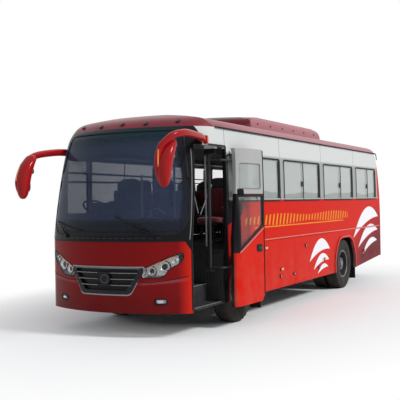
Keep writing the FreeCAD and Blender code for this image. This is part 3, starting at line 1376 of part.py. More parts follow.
def make_mirrors(outer):
    """Left mirror on its arm; the right one hangs a little lower."""
    x = at(-MIRROR_REACH) - MIRROR_HEAD_DEPTH
    points = [vec(at(MIRROR_ROOT_BACK), HALF_WIDTH - WALL - MIRROR_ARM_RADIUS, MIRROR_ROOT_Z),
              vec(at(MIRROR_KNEE_BACK), HALF_WIDTH + MIRROR_ARM_OUT, MIRROR_ARM_Z),
              vec(x, MIRROR_HEAD_Y + MIRROR_TOP_OUT, MIRROR_ARM_Z),
              vec(x, MIRROR_HEAD_Y, (MIRROR_HEAD_LOW_Z + MIRROR_HEAD_HIGH_Z) / 2)]
    left = tube_path(points, MIRROR_ARM_RADIUS, MIRROR_BEND_RADIUS).fuse(mirror_head()).removeSplitter()
    right = mirrored(left)
    right.translate(vec(0, 0, -MIRROR_RIGHT_DROP))
    outside = [side.cut(outer).Solids for side in (left, right)]
    export("mirrors", [max(solids, key=lambda solid: solid.Volume) for solids in outside])


def wiper(hub_y, tip_y):
    """Front view of one parked arm and blade, as a slanted strip over the glass."""
    run = tip_y - hub_y
    rise = WIPER_TIP_Z - WIPER_HUB_Z
    length = math.hypot(run, rise)
    side_y = -rise / length * WIPER_WIDTH / 2
    side_z = run / length * WIPER_WIDTH / 2
    return [(hub_y + side_y, WIPER_HUB_Z + side_z), (tip_y + side_y, WIPER_TIP_Z + side_z),
            (tip_y - side_y, WIPER_TIP_Z - side_z), (hub_y - side_y, WIPER_HUB_Z - side_z)]


def make_wipers():
    hubs = []
    strips = []
    for hub_y, tip_y in ((WIPER_HUB_Y, WIPER_TIP_Y), (-WIPER_HUB_Y, -WIPER_TIP_Y - WIPER_SHIFT)):
        strips.append(front_cut(wiper(hub_y, tip_y), 0))
        hubs.append(nose_bar(hub_y, WIPER_HUB_Z, WIPER_HUB_RADIUS))
    blades = upper_pieces(-WIPER_GAP - WIPER_DEPTH, -WIPER_GAP, strips)
    roots = upper_pieces(-WIPER_GAP - WIPER_DEPTH, 0, hubs)
    export("wipers", [blade.fuse(root).removeSplitter() for blade, root in zip(blades, roots)])


def main():
    os.makedirs("parts", exist_ok=True)
    outer = envelope(0)
    cavity = envelope(WALL, SKIRT_Z - OVERRUN)
    skin = outer.cut(cavity)
    make_side_walls(skin, cavity)
    make_roof(skin)
    make_front(skin)
    make_glass()
    make_tail(skin)
    make_flaps(skin)
    make_floor(cavity)
    export("luggage_bays", [side for plate in luggage_tray() for side in both(plate)])
    make_mud_sheets()
    make_chassis(cavity)
    make_springs()
    make_front_beam()
    left_knuckle = knuckle()
    export("knuckle_left", left_knuckle)
    export("knuckle_right", mirrored(left_knuckle))
    make_tie_rod()
    make_front_wheels()
    make_rear_wheels()
    make_rear_axle()
    make_engine()
    make_door(skin, cavity)
    make_door_arms()
    make_passenger_seats()
    make_cab(cavity)
    make_racks(cavity)
    make_handrails()
    make_roof_unit(outer)
    make_mirrors(outer)
    make_wipers()


if __name__ == "__main__":
    main()
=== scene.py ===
import math
from collections import defaultdict

import bmesh
import bpy
from mathutils import Matrix, Vector
from mathutils.bvhtree import BVHTree


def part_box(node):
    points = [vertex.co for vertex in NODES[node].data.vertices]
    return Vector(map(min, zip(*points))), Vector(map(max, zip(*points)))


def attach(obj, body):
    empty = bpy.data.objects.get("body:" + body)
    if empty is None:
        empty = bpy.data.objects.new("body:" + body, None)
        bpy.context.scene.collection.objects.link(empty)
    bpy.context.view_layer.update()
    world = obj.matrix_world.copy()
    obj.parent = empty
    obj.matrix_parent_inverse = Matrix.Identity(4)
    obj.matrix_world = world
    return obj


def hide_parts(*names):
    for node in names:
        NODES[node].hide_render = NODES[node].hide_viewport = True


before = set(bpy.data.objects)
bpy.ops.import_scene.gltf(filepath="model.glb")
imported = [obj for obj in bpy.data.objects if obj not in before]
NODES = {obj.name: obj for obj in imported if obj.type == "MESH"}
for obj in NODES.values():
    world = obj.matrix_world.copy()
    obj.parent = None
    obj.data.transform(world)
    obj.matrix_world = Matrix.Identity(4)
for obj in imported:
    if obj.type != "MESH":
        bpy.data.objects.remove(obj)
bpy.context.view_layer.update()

BODY = "coach_body"
UP = Vector((0, 0, 1))
FORWARD = Vector((1, 0, 0))
SIDES = (1, -1)

# Places taken from the frame, metres; "back" is a distance behind the nose
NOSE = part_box("front_mask")[1].x
HALF_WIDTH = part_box("side_wall_right")[0].y * -1
WHEEL_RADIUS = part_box("front_tyre_left")[1].z / 2
FRONT_AXLE_BACK = NOSE - sum(corner.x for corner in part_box("front_tyre_left")) / 2
REAR_AXLE_BACK = NOSE - sum(corner.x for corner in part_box("rear_tyres_left")) / 2
FLAPS = {name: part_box(name) for name in NODES if name.startswith("luggage_flap")}

# Levels and lines of the bodywork
SILL_Z = 0.381
FLOOR_Z = 1.15
WAIST_Z = 1.229
HOOD_Z = 1.324
BELT_Z = 1.898
BELT_STRIP_Z = 1.892
LEAF_RED_TOP_Z = 1.975
PILLAR_TOP_Z = 2.60
DOOR_TOP_Z = 2.668
GUTTER_Z = 2.944
GUTTER_TUCK = 0.025
JOINT_BACK = 0.40
JOINT_LEAN = 0.165
DOOR_REAR_BACK = 1.335
NOSE_BOW_RADIUS = 2.150
SILVER_REAR = 9.47
SEAM_FIRST = 1.348
SEAM_PITCH = 2.093
SEAM_HALF = 0.005
LEAF_SHIFT = 0.865  # how far the open leaf stands behind its closed place

# Outlines and places on the bodywork: (front, rear), (back, z) on the sides, (y, z) on the front and rear
WINDOW_LOW_Z = 1.868
WINDOW_HIGH_Z = 2.560
WINDOWS = ((1.400, 3.407), (3.597, 5.406), (5.651, 7.504), (7.777, 9.301))
CAB_WINDOW = (0.760, 1.325, 1.700, WINDOW_HIGH_Z)
DIVIDERS = (2.42, 4.508, 6.670, 8.621)
ARCH_TOP_Z = 1.085
ARCH_SHOULDER_Z = 0.680
ARCH_TOP_SHARE = 0.62
ARCHES = ((FRONT_AXLE_BACK, 0.590), (REAR_AXLE_BACK, 0.690))
SCREEN = ((1.060, 1.432), (1.150, 1.640), (1.150, 1.950), (0.970, 2.890))
LAMP = ((0.558, 0.830), (0.827, 0.8405), (0.893, 0.879), (0.915, 0.9385), (1.069, 1.033), (1.107, 1.103),
        (1.107, 1.180), (0.909, 1.110), (0.783, 1.0505), (0.613, 0.977))
LAMP_STRIP = ((0.64, 0.962), (0.70, 0.994), (0.79, 1.030), (0.86, 1.062), (0.91, 1.086), (0.99, 1.118))
MARKERS = ((1.547, 1.050), (2.755, 1.093), (3.424, 0.694), (5.626, 0.705), (8.30, 0.705))
LOCKS = ((3.998, 0.566), (4.595, 1.029), (3.375, 0.579), (5.30, 0.566))
BUMPER_SEAM = ((0.501, 0.781), (0.673, 0.769), (0.904, 0.799), (1.066, 0.833), (1.153, 0.853))
GRILLE = ((-0.405, 0.594), (0.405, 0.594), (0.620, 0.980), (-0.620, 0.980))
GRILLE_BARS = ((0.962, 0.0, 0.585), (0.897, 0.11, 0.512), (0.812, 0.11, 0.470), (0.727, 0.11, 0.425))
BOSS_Z = 0.812
CLEARANCE_LAMPS = ((0.70, 0.83), (0.54, 0.39), (0.52, 0.0), (0.54, -0.39), (0.70, -0.83))
WIPERS = (((0.743, 1.405), (0.420, 1.560), (0.70, 1.470), (0.17, 1.672)),
          ((-0.743, 1.405), (-0.90, 1.560), (-0.42, 1.480), (-1.02, 1.605)))
STEP_EDGES = ((0.918, 0.6467), (0.638, 0.8983), (0.360, FLOOR_Z), (1.170, 0.395))

# Artwork on the sides: gold bars, a line under them, and strokes of (back, z, half length, height, lean)
BARS_Z = 1.55
BARS_LINE_Z = 1.435
STROKES = ((5.38, 0.99, 0.58, 0.120, 0.16), (5.46, 0.74, 0.44, 0.080, 0.16), (5.54, 0.57, 0.30, 0.045, 0.16),
           (8.52, 1.50, 0.98, 0.165, 0.22), (8.66, 1.15, 0.78, 0.115, 0.22), (8.80, 0.88, 0.58, 0.075, 0.22))

# Camera fitted to the photograph
CAMERA_AHEAD = 8.858
CAMERA_LEFT = 6.331
CAMERA_UP = 1.861
CAMERA_YAW = 28.401
CAMERA_PITCH = 0.158
CAMERA_ROLL = -0.993
CAMERA_LENS = 69.58

# Colours, linear
RED = (0.58, 0.014, 0.007)
# Painted shade: the front's copy of the body red, darker because the front stands in shade
SHADED_FRONT_RED = (0.24, 0.006, 0.007)
MAROON = (0.10, 0.006, 0.016)
SILVER = (0.60, 0.61, 0.59)
PILLAR = (0.25, 0.26, 0.25)
INSIDE = (0.20, 0.20, 0.20)
WHITE = (0.80, 0.80, 0.84)
GOLD = (0.72, 0.25, 0.02)
AMBER = (0.85, 0.22, 0.01)
BLACK = (0.010, 0.010, 0.012)
CHARCOAL = (0.035, 0.036, 0.040)
DARK_GREY = (0.025, 0.025, 0.028)
TEAL = (0.001, 0.026, 0.034)
DUST = (0.30, 0.22, 0.16)


def at(back):
    return NOSE - back


def place_at(back, y, z):
    return Vector((at(back), y, z))


def joint_back(z):
    """Where the front mask meets the side walls at a level."""
    return JOINT_BACK + JOINT_LEAN * max(0.0, z - HOOD_Z)


# Node fields: numbers that vary over a surface


class Field:
    def __init__(self, tree, socket):
        self.tree = tree
        self.socket = socket

    def math(self, operation, *others):
        node = self.tree.nodes.new("ShaderNodeMath")
        node.operation = operation
        for slot, value in zip(node.inputs, (self,) + others):
            feed(self.tree, value, slot)
        return Field(self.tree, node.outputs[0])

    def __add__(self, other):
        return self.math("ADD", other)

    def __sub__(self, other):
        return self.math("SUBTRACT", other)

    def __mul__(self, other):
        return self.math("MULTIPLY", other)

    def __rsub__(self, other):
        return self.math("MULTIPLY", -1.0).math("ADD", other)

    def size(self):
        return self.math("ABSOLUTE")

    def sine(self):
        return self.math("SINE")

    def most(self, other):
        return self.math("MAXIMUM", other)

    def apart(self, pitch, first=0.0):
        """Distance from the nearest line of an even row of lines."""
        turns = (self - first).math("DIVIDE", pitch)
        return (turns - turns.math("ROUND")).size() * pitch

    def above(self, edge, soft=0.003):
        """0 below the edge and 1 above it."""
        node = add_node(self.tree, "MapRange", Value=self, From_Min=edge - soft, From_Max=edge + soft)
        return Field(self.tree, node.outputs["Result"])

    def below(self, edge, soft=0.003):
        return 1.0 - self.above(edge, soft)

    def between(self, low, high, soft=0.003):
        return self.above(low, soft) * self.below(high, soft)


def feed(tree, value, slot):
    """Put a field, a socket, a colour or a number on a node's input."""
    if isinstance(value, Field):
        tree.links.new(value.socket, slot)
    elif isinstance(value, bpy.types.NodeSocket):
        tree.links.new(value, slot)
    elif isinstance(value, tuple):
        slot.default_value = (*value, 1.0)
    else:
        slot.default_value = value


def add_node(tree, kind, **inputs):
    """Add a shader node and feed its named inputs; an underscore stands for a space."""
    node = tree.nodes.new("ShaderNode" + kind)
    for name, value in inputs.items():
        feed(tree, value, node.inputs[name.replace("_", " ")])
    return node


class Maker:
    """One node material: a Principled shader, the piece's place and what is painted on it."""

    def __init__(self, name, colour, rough, metal=0.0, coat=0.0, sheen=0.0, gloss=0.5):
        self.material = bpy.data.materials.new(name)
        self.material.use_nodes = True
        self.tree = self.material.node_tree
        self.shader = self.tree.nodes["Principled BSDF"]
        for socket, value in (("Metallic", metal), ("Coat Weight", coat), ("Coat Roughness", 0.04),
                              ("Sheen Weight", sheen), ("Specular IOR Level", gloss)):
            self.shader.inputs[socket].default_value = value
        self.colour = colour
        self.rough = rough
        self.heights = []
        self.spot = self.tree.nodes.new("ShaderNodeTexCoord")
        self.place = self.spot.outputs["Object"]
        self.x, self.y, self.z = self.split(self.place)
        self.back = NOSE - self.x

    def split(self, vector):
        node = self.tree.nodes.new("ShaderNodeSeparateXYZ")
        self.tree.links.new(vector, node.inputs[0])
        return [Field(self.tree, out) for out in node.outputs]

    def normal(self):
        return self.split(self.spot.outputs["Normal"])

    def mix(self, mask, colour, strength=1.0):
        """Lay a colour over what is there, where the mask is 1."""
        node = self.tree.nodes.new("ShaderNodeMix")
        node.data_type = "RGBA"
        if strength != 1.0:
            mask = mask * strength
        for name, value in (("Factor", mask), ("A", self.colour), ("B", colour)):
            feed(self.tree, value, node.inputs[name])
        self.colour = node.outputs["Result"]

    def noise(self, scale, detail=3.0, stretch=(1, 1, 1)):
        mapping = add_node(self.tree, "Mapping", Vector=self.place, Scale=Vector(stretch))
        node = add_node(self.tree, "TexNoise", Vector=mapping.outputs[0], Scale=scale, Detail=detail)
        return Field(self.tree, node.outputs["Fac"])

    def facing(self):
        """1 where the surface looks outwards from the middle of the vehicle, 0 where it looks in."""
        nx, ny, nz = self.normal()
        outwards = nx * self.x * 0.10 + ny * self.y + nz * (self.z - 1.7) * 0.5
        return outwards.above(0.0, 0.02)

    def bump(self, field, depth):
        self.heights.append(field * depth)

    def done(self):
        feed(self.tree, self.colour, self.shader.inputs["Base Color"])
        feed(self.tree, self.rough, self.shader.inputs["Roughness"])
        if self.heights:
            total = sum(self.heights[1:], self.heights[0])
            bump = add_node(self.tree, "Bump", Distance=1.0, Height=total)
            feed(self.tree, bump.outputs[0], self.shader.inputs["Normal"])
        return self.material


# Materials


def darker(colour, share):
    return tuple(c * share for c in colour)


def dusty(m, strength, top):
    """Road dust that thickens towards the ground."""
    low = m.z.below(top, top * 0.8)
    m.mix(low * m.noise(4.0, 5.0).above(0.55, 0.2), DUST, strength)


def swoosh(m, back, z, length, height, lean):
    """A curved tapering stroke, thick in the middle and pointed at both ends."""
    along = (m.back - back) * (1.0 / length)
    rise = (m.z - z) - (m.back - back) * lean + along * along * (height * 1.6)
    thick = (1.0 - along * along).most(0.0) * height
    return (rise.size() - thick).below(0.0, 0.004) * along.size().below(1.0, 0.01)


def side_paint():
    m = Maker("side_paint", RED, 0.32, gloss=0.015)
    lower_rear = (m.z - (m.back - 6.0) * 0.27).below(0.45, 0.42) * m.back.above(6.9, 1.3)
    m.mix(lower_rear, MAROON, 0.92)
    rise = m.z - BARS_Z
    bars = (m.back - rise * 0.35).apart(0.155, 2.5).below(0.030, 0.004)
    bars *= (rise.size() - (m.back * 2.3).sine() * 0.022).below(0.075, 0.004)
    m.mix(bars * m.back.between(1.93, 7.15), GOLD)
    m.mix((m.z - BARS_LINE_Z).size().below(0.010, 0.002) * m.back.between(2.35, 6.85), GOLD)
    for stroke in STROKES:
        m.mix(swoosh(m, *stroke), WHITE)
    ahead = m.back.below(SILVER_REAR, 0.004)
    m.mix(m.z.between(BELT_Z, GUTTER_Z) * ahead, SILVER)
    m.mix(m.z.between(BELT_Z, PILLAR_TOP_Z, 0.02) * ahead, PILLAR, 0.75)
    wedge = (m.z - (m.back - 1.328) * 0.30).above(1.489) * m.z.below(BELT_Z) * m.back.below(1.90)
    jamb = m.back.below(1.395) * m.z.below(2.64)
    m.mix(wedge.most(jamb) * m.y.above(0.0), BLACK)
    seam = m.back.apart(SEAM_PITCH, SEAM_FIRST).below(SEAM_HALF, 0.002)
    seam = seam * m.z.between(PILLAR_TOP_Z, GUTTER_Z) * m.back.below(SILVER_REAR)
    m.mix(seam, (0.10, 0.10, 0.10))
    m.bump(seam, -0.002)
    m.mix(1.0 - m.facing(), INSIDE)
    m.bump(m.noise(60.0, 1.0), 0.0004)
    dusty(m, 0.22, 0.75)
    return m.done()


def front_paint():
    # Base colour is painted shade: a darker copy of the body red for the whole front
    m = Maker("front_paint", SHADED_FRONT_RED, 0.24, gloss=0.07)
    # Painted shade: darker towards the bottom of the front, where the bumper tucks under
    m.mix(m.z.below(0.62, 0.30), (0.10, 0.003, 0.005), 0.7)
    # Painted highlight: a pink line just under the bumper seam, towards the corners
    seam_highlight_offset = m.z - 0.735 - m.y * m.y * 0.055
    m.mix(seam_highlight_offset.size().below(0.016, 0.016) * m.y.size().above(0.55, 0.05), (0.50, 0.10, 0.13), 0.5)
    # Painted light: a brighter red on the near corner, which faces the light
    m.mix(m.y.above(1.10, 0.07), (0.56, 0.016, 0.007))
    m.mix(1.0 - m.facing(), CHARCOAL)
    m.bump(m.noise(60.0, 1.0), 0.0003)
    dusty(m, 0.05, 0.5)
    return m.done()


def roof_paint(name, hood=False):
    """Roof in a darker, purplish copy of the body red, a painted sky reflection; paler on its flanks, where the
    painted sky reflection is stronger; the front of the unit on it is dark.
    """
    m = Maker(name, (0.20, 0.022, 0.034), 0.30, gloss=0.12)
    # Painted sky reflection: paler pink on the flanks that face sideways
    m.mix(m.normal()[1].size().above(0.45, 0.35) * m.back.above(1.6, 0.9), (0.42, 0.16, 0.18), 0.7)
    if hood:
        m.mix(m.back.below(3.16, 0.01), (0.11, 0.006, 0.012))
    m.mix(1.0 - m.facing(), (0.42, 0.42, 0.41))
    m.bump(m.noise(40.0, 1.0), 0.0004)
    return m.done()


def leaf_paint():
    """Red door leaf with a grey head, a charcoal inner face and black edges."""
    m = Maker("leaf_paint", (0.60, 0.014, 0.006), 0.30, gloss=0.02)
    m.mix(m.z.above(LEAF_RED_TOP_Z), (0.40, 0.39, 0.38))
    nx, ny, _ = m.normal()
    m.mix((ny + nx * 0.35).below(-0.20, 0.02), CHARCOAL)
    edge = m.back - (m.z - HOOD_Z).most(0.0) * JOINT_LEAN
    m.mix(edge.below(1.40) * m.z.between(1.105, LEAF_RED_TOP_Z), BLACK)
    m.mix(nx.above(0.5, 0.1) * m.z.below(LEAF_RED_TOP_Z), BLACK)
    m.mix(m.y.below(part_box("door_leaf")[0].y + 0.014), BLACK)
    dusty(m, 0.25, 0.75)
    return m.done()


def plain(name, colour, rough, metal=0.0, grain=60.0, depth=0.0006, coat=0.0, gloss=0.5):
    """A moulded or painted surface with a little grain and tone variation."""
    m = Maker(name, colour, rough, metal, coat, gloss=gloss)
    m.mix(m.noise(5.0, 4.0).above(0.5, 0.3), darker(colour, 0.6), 0.25)
    m.bump(m.noise(grain, 2.0), depth)
    return m.done()


def glass(name, colour, base, edge, gloss=0.5, clear=None, scene=None):
    """Tinted glass, more solid at a slant; clear is the share of that left on the inner faces."""
    m = Maker(name, colour, 0.02, gloss=gloss)
    weight = add_node(m.tree, "LayerWeight", Blend=0.35)
    solid = Field(m.tree, weight.outputs["Facing"]) * (edge - base) + base
    if clear:
        solid = solid * (m.facing() * (1.0 - clear) + clear)
    if scene:
        solid = scene(m, solid)
    feed(m.tree, solid, m.shader.inputs["Alpha"])
    m.mix(m.noise(1.5, 2.0), darker(colour, 0.8), 0.3)
    return m.done()


def screen_bands(m, solid):
    """Teal band along the top of the windscreen, dark foot, and a black rim at the foot and left side."""
    band = m.z.above(2.75, 0.09)
    m.mix(band, TEAL)
    m.mix(m.z.below(1.63, 0.04), (0.006, 0.006, 0.009), 0.85)
    rim = (m.y - 1.06 + (m.z - 1.95).most(0.0) * 0.19).above(0.0, 0.03).most(m.z.below(1.475, 0.02))
    m.mix(rim, BLACK)
    return solid.most(band * 0.97).most(rim)


def painted_hill_reflection(m, solid):
    """Painted reflection of dark uneven land in the lower part of the side windows."""
    skyline = m.z - m.noise(1.1, 2.0, (1, 1, 0)) * 0.20
    m.mix(skyline.below(1.90, 0.012), (0.15, 0.18, 0.16), 0.75)
    return solid


def leaf_glass():
    """Clear glass; the upper light is paler and more solid, a painted sky reflection."""
    m = Maker("leaf_glass", (0.16, 0.18, 0.17), 0.02, gloss=0.2)
    upper = m.z.above(2.0)
    # Painted sky reflection: the upper light is paler and more solid
    m.mix(upper, (0.46, 0.50, 0.47))
    feed(m.tree, upper * 0.37 + 0.15, m.shader.inputs["Alpha"])
    m.mix(m.noise(1.5, 2.0), (0.20, 0.22, 0.21), 0.15)
    return m.done()


def screen_surround():
    """Black surround whose top and far side take the colour of the glass."""
    m = Maker("screen_surround", (0.007, 0.007, 0.009), 0.25, gloss=0.10)
    m.mix(m.z.above(1.55, 0.05) * m.y.below(-0.95, 0.03), (0.024, 0.034, 0.062))
    m.mix(m.z.above(2.74, 0.05) * m.y.below(0.93, 0.05) * m.z.below(2.945, 0.01), TEAL)
    return m.done()


def grille_coat():
    """Near-black bars with painted shade darkening the recess behind them, and a plain ring on the boss."""
    m = Maker("grille_coat", (0.016, 0.016, 0.018), 0.35, gloss=0.15)
    depth = NOSE - m.y * m.y * (0.5 / NOSE_BOW_RADIUS) - m.x
    # Painted shade: darker where the grille lies deeper behind the nose
    m.mix(depth.above(0.024, 0.002), (0.004, 0.004, 0.005))
    rise = m.z - BOSS_Z
    from_boss = (m.y * m.y + rise * rise).math("SQRT")
    m.mix(from_boss.below(0.088, 0.002), (0.012, 0.012, 0.014))
    m.mix(from_boss.between(0.056, 0.062, 0.002), (0.16, 0.16, 0.17))
    m.bump(from_boss.apart(0.026), 0.10)
    return m.done()


def tyre_rubber():
    m = Maker("tyre_rubber", (0.020, 0.019, 0.019), 0.85, gloss=0.15)
    m.mix(m.noise(7.0, 6.0).above(0.50, 0.3), (0.13, 0.11, 0.09), 0.30)
    m.bump(m.noise(90.0, 2.0), 0.0015)
    return m.done()


def wheel_paint():
    m = Maker("wheel_paint", (0.060, 0.058, 0.064), 0.38, metal=0.3)
    m.mix(m.noise(9.0, 5.0).above(0.55, 0.25), (0.16, 0.12, 0.09), 0.35)
    m.bump(m.noise(50.0, 2.0), 0.0008)
    return m.done()


def floor_mat():
    m = Maker("floor_mat", (0.022, 0.022, 0.025), 0.75, gloss=0.2)
    m.bump((m.y * 120.0).sine(), 0.0015)
    m.mix(m.noise(6.0, 4.0).above(0.5, 0.2), (0.06, 0.055, 0.05), 0.4)
    return m.done()


def seat_cloth(name, colour):
    m = Maker(name, colour, 0.85, sheen=0.4)
    m.bump((m.x * 900.0).sine() * (m.y * 900.0).sine() + (m.z * 900.0).sine(), 0.0004)
    m.mix(m.y.apart(0.114).below(0.008, 0.003), darker(colour, 0.4), 0.8)
    m.mix(m.noise(25.0, 4.0).above(0.5, 0.2), darker(colour, 0.65), 0.6)
    return m.done()


LOOKS = {
    "trim_black": plain("black_trim", BLACK, 0.30, gloss=0.06),
    "rubber": plain("seal_rubber", (0.010, 0.010, 0.011), 0.6, gloss=0.15),
    "cast": plain("cast_iron", (0.035, 0.034, 0.034), 0.6, metal=0.6, grain=120.0, depth=0.001),
    "frame": plain("frame_paint", (0.02, 0.02, 0.021), 0.5, coat=0.2),
    "dark_plastic": plain("dark_plastic", DARK_GREY, 0.55, gloss=0.25),
    "handrail": plain("handrail_paint", (0.20, 0.21, 0.22), 0.35, metal=0.2),
    "chrome": plain("bright_metal", (0.55, 0.56, 0.57), 0.18, metal=0.9, depth=0.0002),
    "lamp_shell": plain("lamp_shell", (0.50, 0.49, 0.49), 0.25, metal=0.5, depth=0.0002),
    "wheel_steel": plain("dull_steel", (0.22, 0.22, 0.23), 0.35, metal=0.7),
    "aluminium": plain("aluminium_edge", (0.42, 0.43, 0.44), 0.35, metal=0.5),
    "amber": plain("amber_lens", AMBER, 0.15, coat=0.8, grain=220.0, depth=0.001),
    "mirror_red": plain("mirror_paint", (0.36, 0.008, 0.010), 0.16, depth=0.0001, gloss=0.15),
    "arch_red": plain("moulding_paint", (0.60, 0.035, 0.025), 0.30, depth=0.0001, gloss=0.08),
    "grille_grey": plain("bar_edge", (0.24, 0.24, 0.25), 0.30, metal=0.3, depth=0.0001),
    "strip_grey": plain("strip_paint", (0.17, 0.18, 0.18), 0.35, depth=0.0002, gloss=0.2),
    # The waist moulding's pale pink is a painted highlight along its top
    "moulding": plain("moulding_painted_highlight", (0.72, 0.14, 0.10), 0.30, depth=0.0001, gloss=0.1),
    "dome": plain("dark_dome", (0.045, 0.012, 0.014), 0.2, gloss=0.4),
    "grey": plain("grey_paint", (0.30, 0.31, 0.31), 0.35, depth=0.0002),
    "silver": plain("silver_strip", (0.72, 0.73, 0.72), 0.30, depth=0.0002),
    # Side glass: its pale grey is a painted sky reflection, with a painted reflection of dark land along its
    # foot
    "side_glass": glass("side_glass", (0.38, 0.41, 0.385), 0.72, 0.95, clear=0.15, scene=painted_hill_reflection),
    "cover": glass("lamp_cover", (0.60, 0.62, 0.64), 0.03, 0.25, gloss=0.3),
    "tail_lens": plain("tail_lens", (0.40, 0.010, 0.008), 0.12, coat=1.0, grain=200.0),
    "seat_cloth": seat_cloth("seat_cloth", (0.20, 0.012, 0.020)),
    "seat_grey": seat_cloth("seat_cloth_grey", (0.10, 0.11, 0.13)),
    "tyre": tyre_rubber(),
}


def dress():
    """Give each carried-over node its material."""
    screen = glass("screen_glass", (0.036, 0.050, 0.092), 0.60, 0.90, 0.1, 0.2, screen_bands)
    looks = (
        (side_paint(), ("side_wall_left", "side_wall_right", "rear_wall", "engine_lid", *FLAPS)),
        (front_paint(), ("front_mask", "front_bumper")),
        (roof_paint("roof_paint"), ("roof_shell",)),
        (roof_paint("roof_unit_paint", True), ("roof_unit",)),
        (leaf_paint(), ("door_leaf",)),
        (screen_surround(), ("windscreen_frame",)),
        (screen, ("windscreen",)),
        (LOOKS["side_glass"], ("side_windows", "rear_window")),
        (leaf_glass(), ("door_glass",)),
        (LOOKS["cover"], ("fog_lamps",)),
        (LOOKS["tail_lens"], ("tail_lamps",)),
        (grille_coat(), ("grille",)),
        (wheel_paint(), ("front_wheel_left", "front_wheel_right", "rear_wheels_left", "rear_wheels_right")),
        (floor_mat(), ("floor_deck",)),
        (LOOKS["handrail"], ("handrails",)),
        (LOOKS["dark_plastic"], ("dashboard", "luggage_racks", "luggage_bays", "door_arms")),
        (LOOKS["rubber"], ("mud_flaps",)),
        (LOOKS["frame"], ("chassis_frame",)),
        (LOOKS["cast"], ("front_axle_beam", "leaf_springs", "rear_axle", "engine_block", "knuckle_left",
                         "knuckle_right", "tie_rod")),
    )
    for material, names in looks:
        for name in names:
            mesh = NODES[name].data
            mesh.materials.clear()
            mesh.materials.append(material)


# Mesh helpers; a spot is a place on a surface and the outward normal there


def piece(name, bm, look, body=BODY, crease=40):
    """Turn mesh code into a named piece that rides on a body and takes its finish from its look."""
    bmesh.ops.recalc_face_normals(bm, faces=bm.faces)
    mesh = bpy.data.meshes.new(name)
    bm.to_mesh(mesh)
    bm.free()
    mesh.materials.append(LOOKS[look])
    for face in mesh.polygons:
        face.use_smooth = True
    mesh.set_sharp_from_angle(angle=math.radians(crease))
    obj = bpy.data.objects.new(name, mesh)
    bpy.context.scene.collection.objects.link(obj)
    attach(obj, body)
    return obj


def loft(bm, rings, closed=False, open_start=False):
    """Skin rings that have the same number of points; the ends are capped unless the row closes on itself."""
    rows = [[bm.verts.new(point) for point in ring] for ring in rings]
    pairs = list(zip(rows, rows[1:] + rows[:1]))
    for low, high in pairs if closed else pairs[:-1]:
        for i in range(len(low)):
            bm.faces.new((low[i - 1], low[i], high[i], high[i - 1]))
    if not closed:
        bm.faces.new(rows[-1])
        if not open_start:
            bm.faces.new(rows[0][::-1])


def ring(centre, u, v, count=24, power=2.0):
    """Closed curve round a centre, from a circle or ellipse to nearly a rectangle."""
    points = []
    for i in range(count):
        turn = 2 * math.pi * i / count
        c, s = math.cos(turn), math.sin(turn)
        points.append(centre + u * math.copysign(abs(c) ** (2 / power), c)
                      + v * math.copysign(abs(s) ** (2 / power), s))
    return points


def stud(bm, spot, width, height, depth, lift=0.0, up=UP, power=2.0, count=24, dome=0.7):
    """Low rounded button on a spot."""
    place, normal = spot
    foot = place + normal * lift
    normal = normal.normalized()
    across = up.cross(normal).normalized() * width / 2
    rise = normal.cross(across).normalized() * height / 2
    marks = ((-0.3, 1.0), (0.6, 1.0), (0.9, 0.9), (1.0, dome))
    loft(bm, [ring(foot + normal * depth * out, across * share, rise * share, count, power)
              for out, share in marks])


def bead(width, height, sink=0.002):
    """Cross-section of a raised strip: points of (across, out)."""
    half = width / 2
    return [(-half, -sink), (-half, height * 0.5), (-half * 0.6, height), (half * 0.6, height),
            (half, height * 0.5), (half, -sink)]


def sweep(bm, spots, profile, closed=False):
    """Carry a cross-section along spots."""
    count = len(spots)
    rings = []
    for i, (place, normal) in enumerate(spots):
        before = spots[i - 1][0] if i or closed else place
        after = spots[(i + 1) % count][0] if i + 1 < count or closed else place
        across = (after - before).cross(normal).normalized()
        rings.append([place + across * a + normal * out for a, out in profile])
    loft(bm, rings, closed)


def strips(name, look, rows, width, height, closed=False, body=BODY):
    """A piece of raised strips, one along each row of spots."""
    bm = bmesh.new()
    for row in rows:
        sweep(bm, row, bead(width, height), closed)
    piece(name, bm, look, body)


def studs(name, look, spots, width, height, depth, lift=0.0, body=BODY, slot=None, **form):
    """A piece of rounded buttons, one on each spot."""
    bm = bmesh.new()
    for spot in spots:
        stud(bm, spot, width, height, depth, lift, **form)
    piece(name, bm, look, body)


def tube(bm, points, radius, sides=12):
    """Round bar through points; a tuple of radii tapers it."""
    radii = radius if isinstance(radius, tuple) else (radius,) * len(points)
    rings = []
    side = None
    for i, point in enumerate(points):
        along = (points[min(i + 1, len(points) - 1)] - points[max(i - 1, 0)]).normalized()
        if side is None:
            side = along.orthogonal().normalized()
        side = (side - along * side.dot(along)).normalized()
        rings.append(ring(point, side * radii[i], along.cross(side) * radii[i], sides))
    loft(bm, rings)


def curve(points, steps):
    """Smooth path through points."""
    ends = [points[0] * 2 - points[1]] + list(points) + [points[-1] * 2 - points[-2]]
    path = []
    for a, b, c, d in zip(ends, ends[1:], ends[2:], ends[3:]):
        for i in range(steps):
            t = i / steps
            path.append((b * 2 + (c - a) * t + (a * 2 - b * 5 + c * 4 - d) * t ** 2
                         + (b * 3 - a - c * 3 + d) * t ** 3) / 2)
    return path + [points[-1]]


def divided(points, step=0.10, closed=False):
    """More points along a path of straight runs."""
    path = []
    for start, end in list(zip(points, points[1:] + points[:1]))[:None if closed else -1]:
        count = max(1, math.ceil((end - start).length / step))
        path += [start.lerp(end, i / count) for i in range(count)]
    return path if closed else path + [points[-1]]


def line(start, end, step):
    return divided([Vector(start), Vector(end)], step)


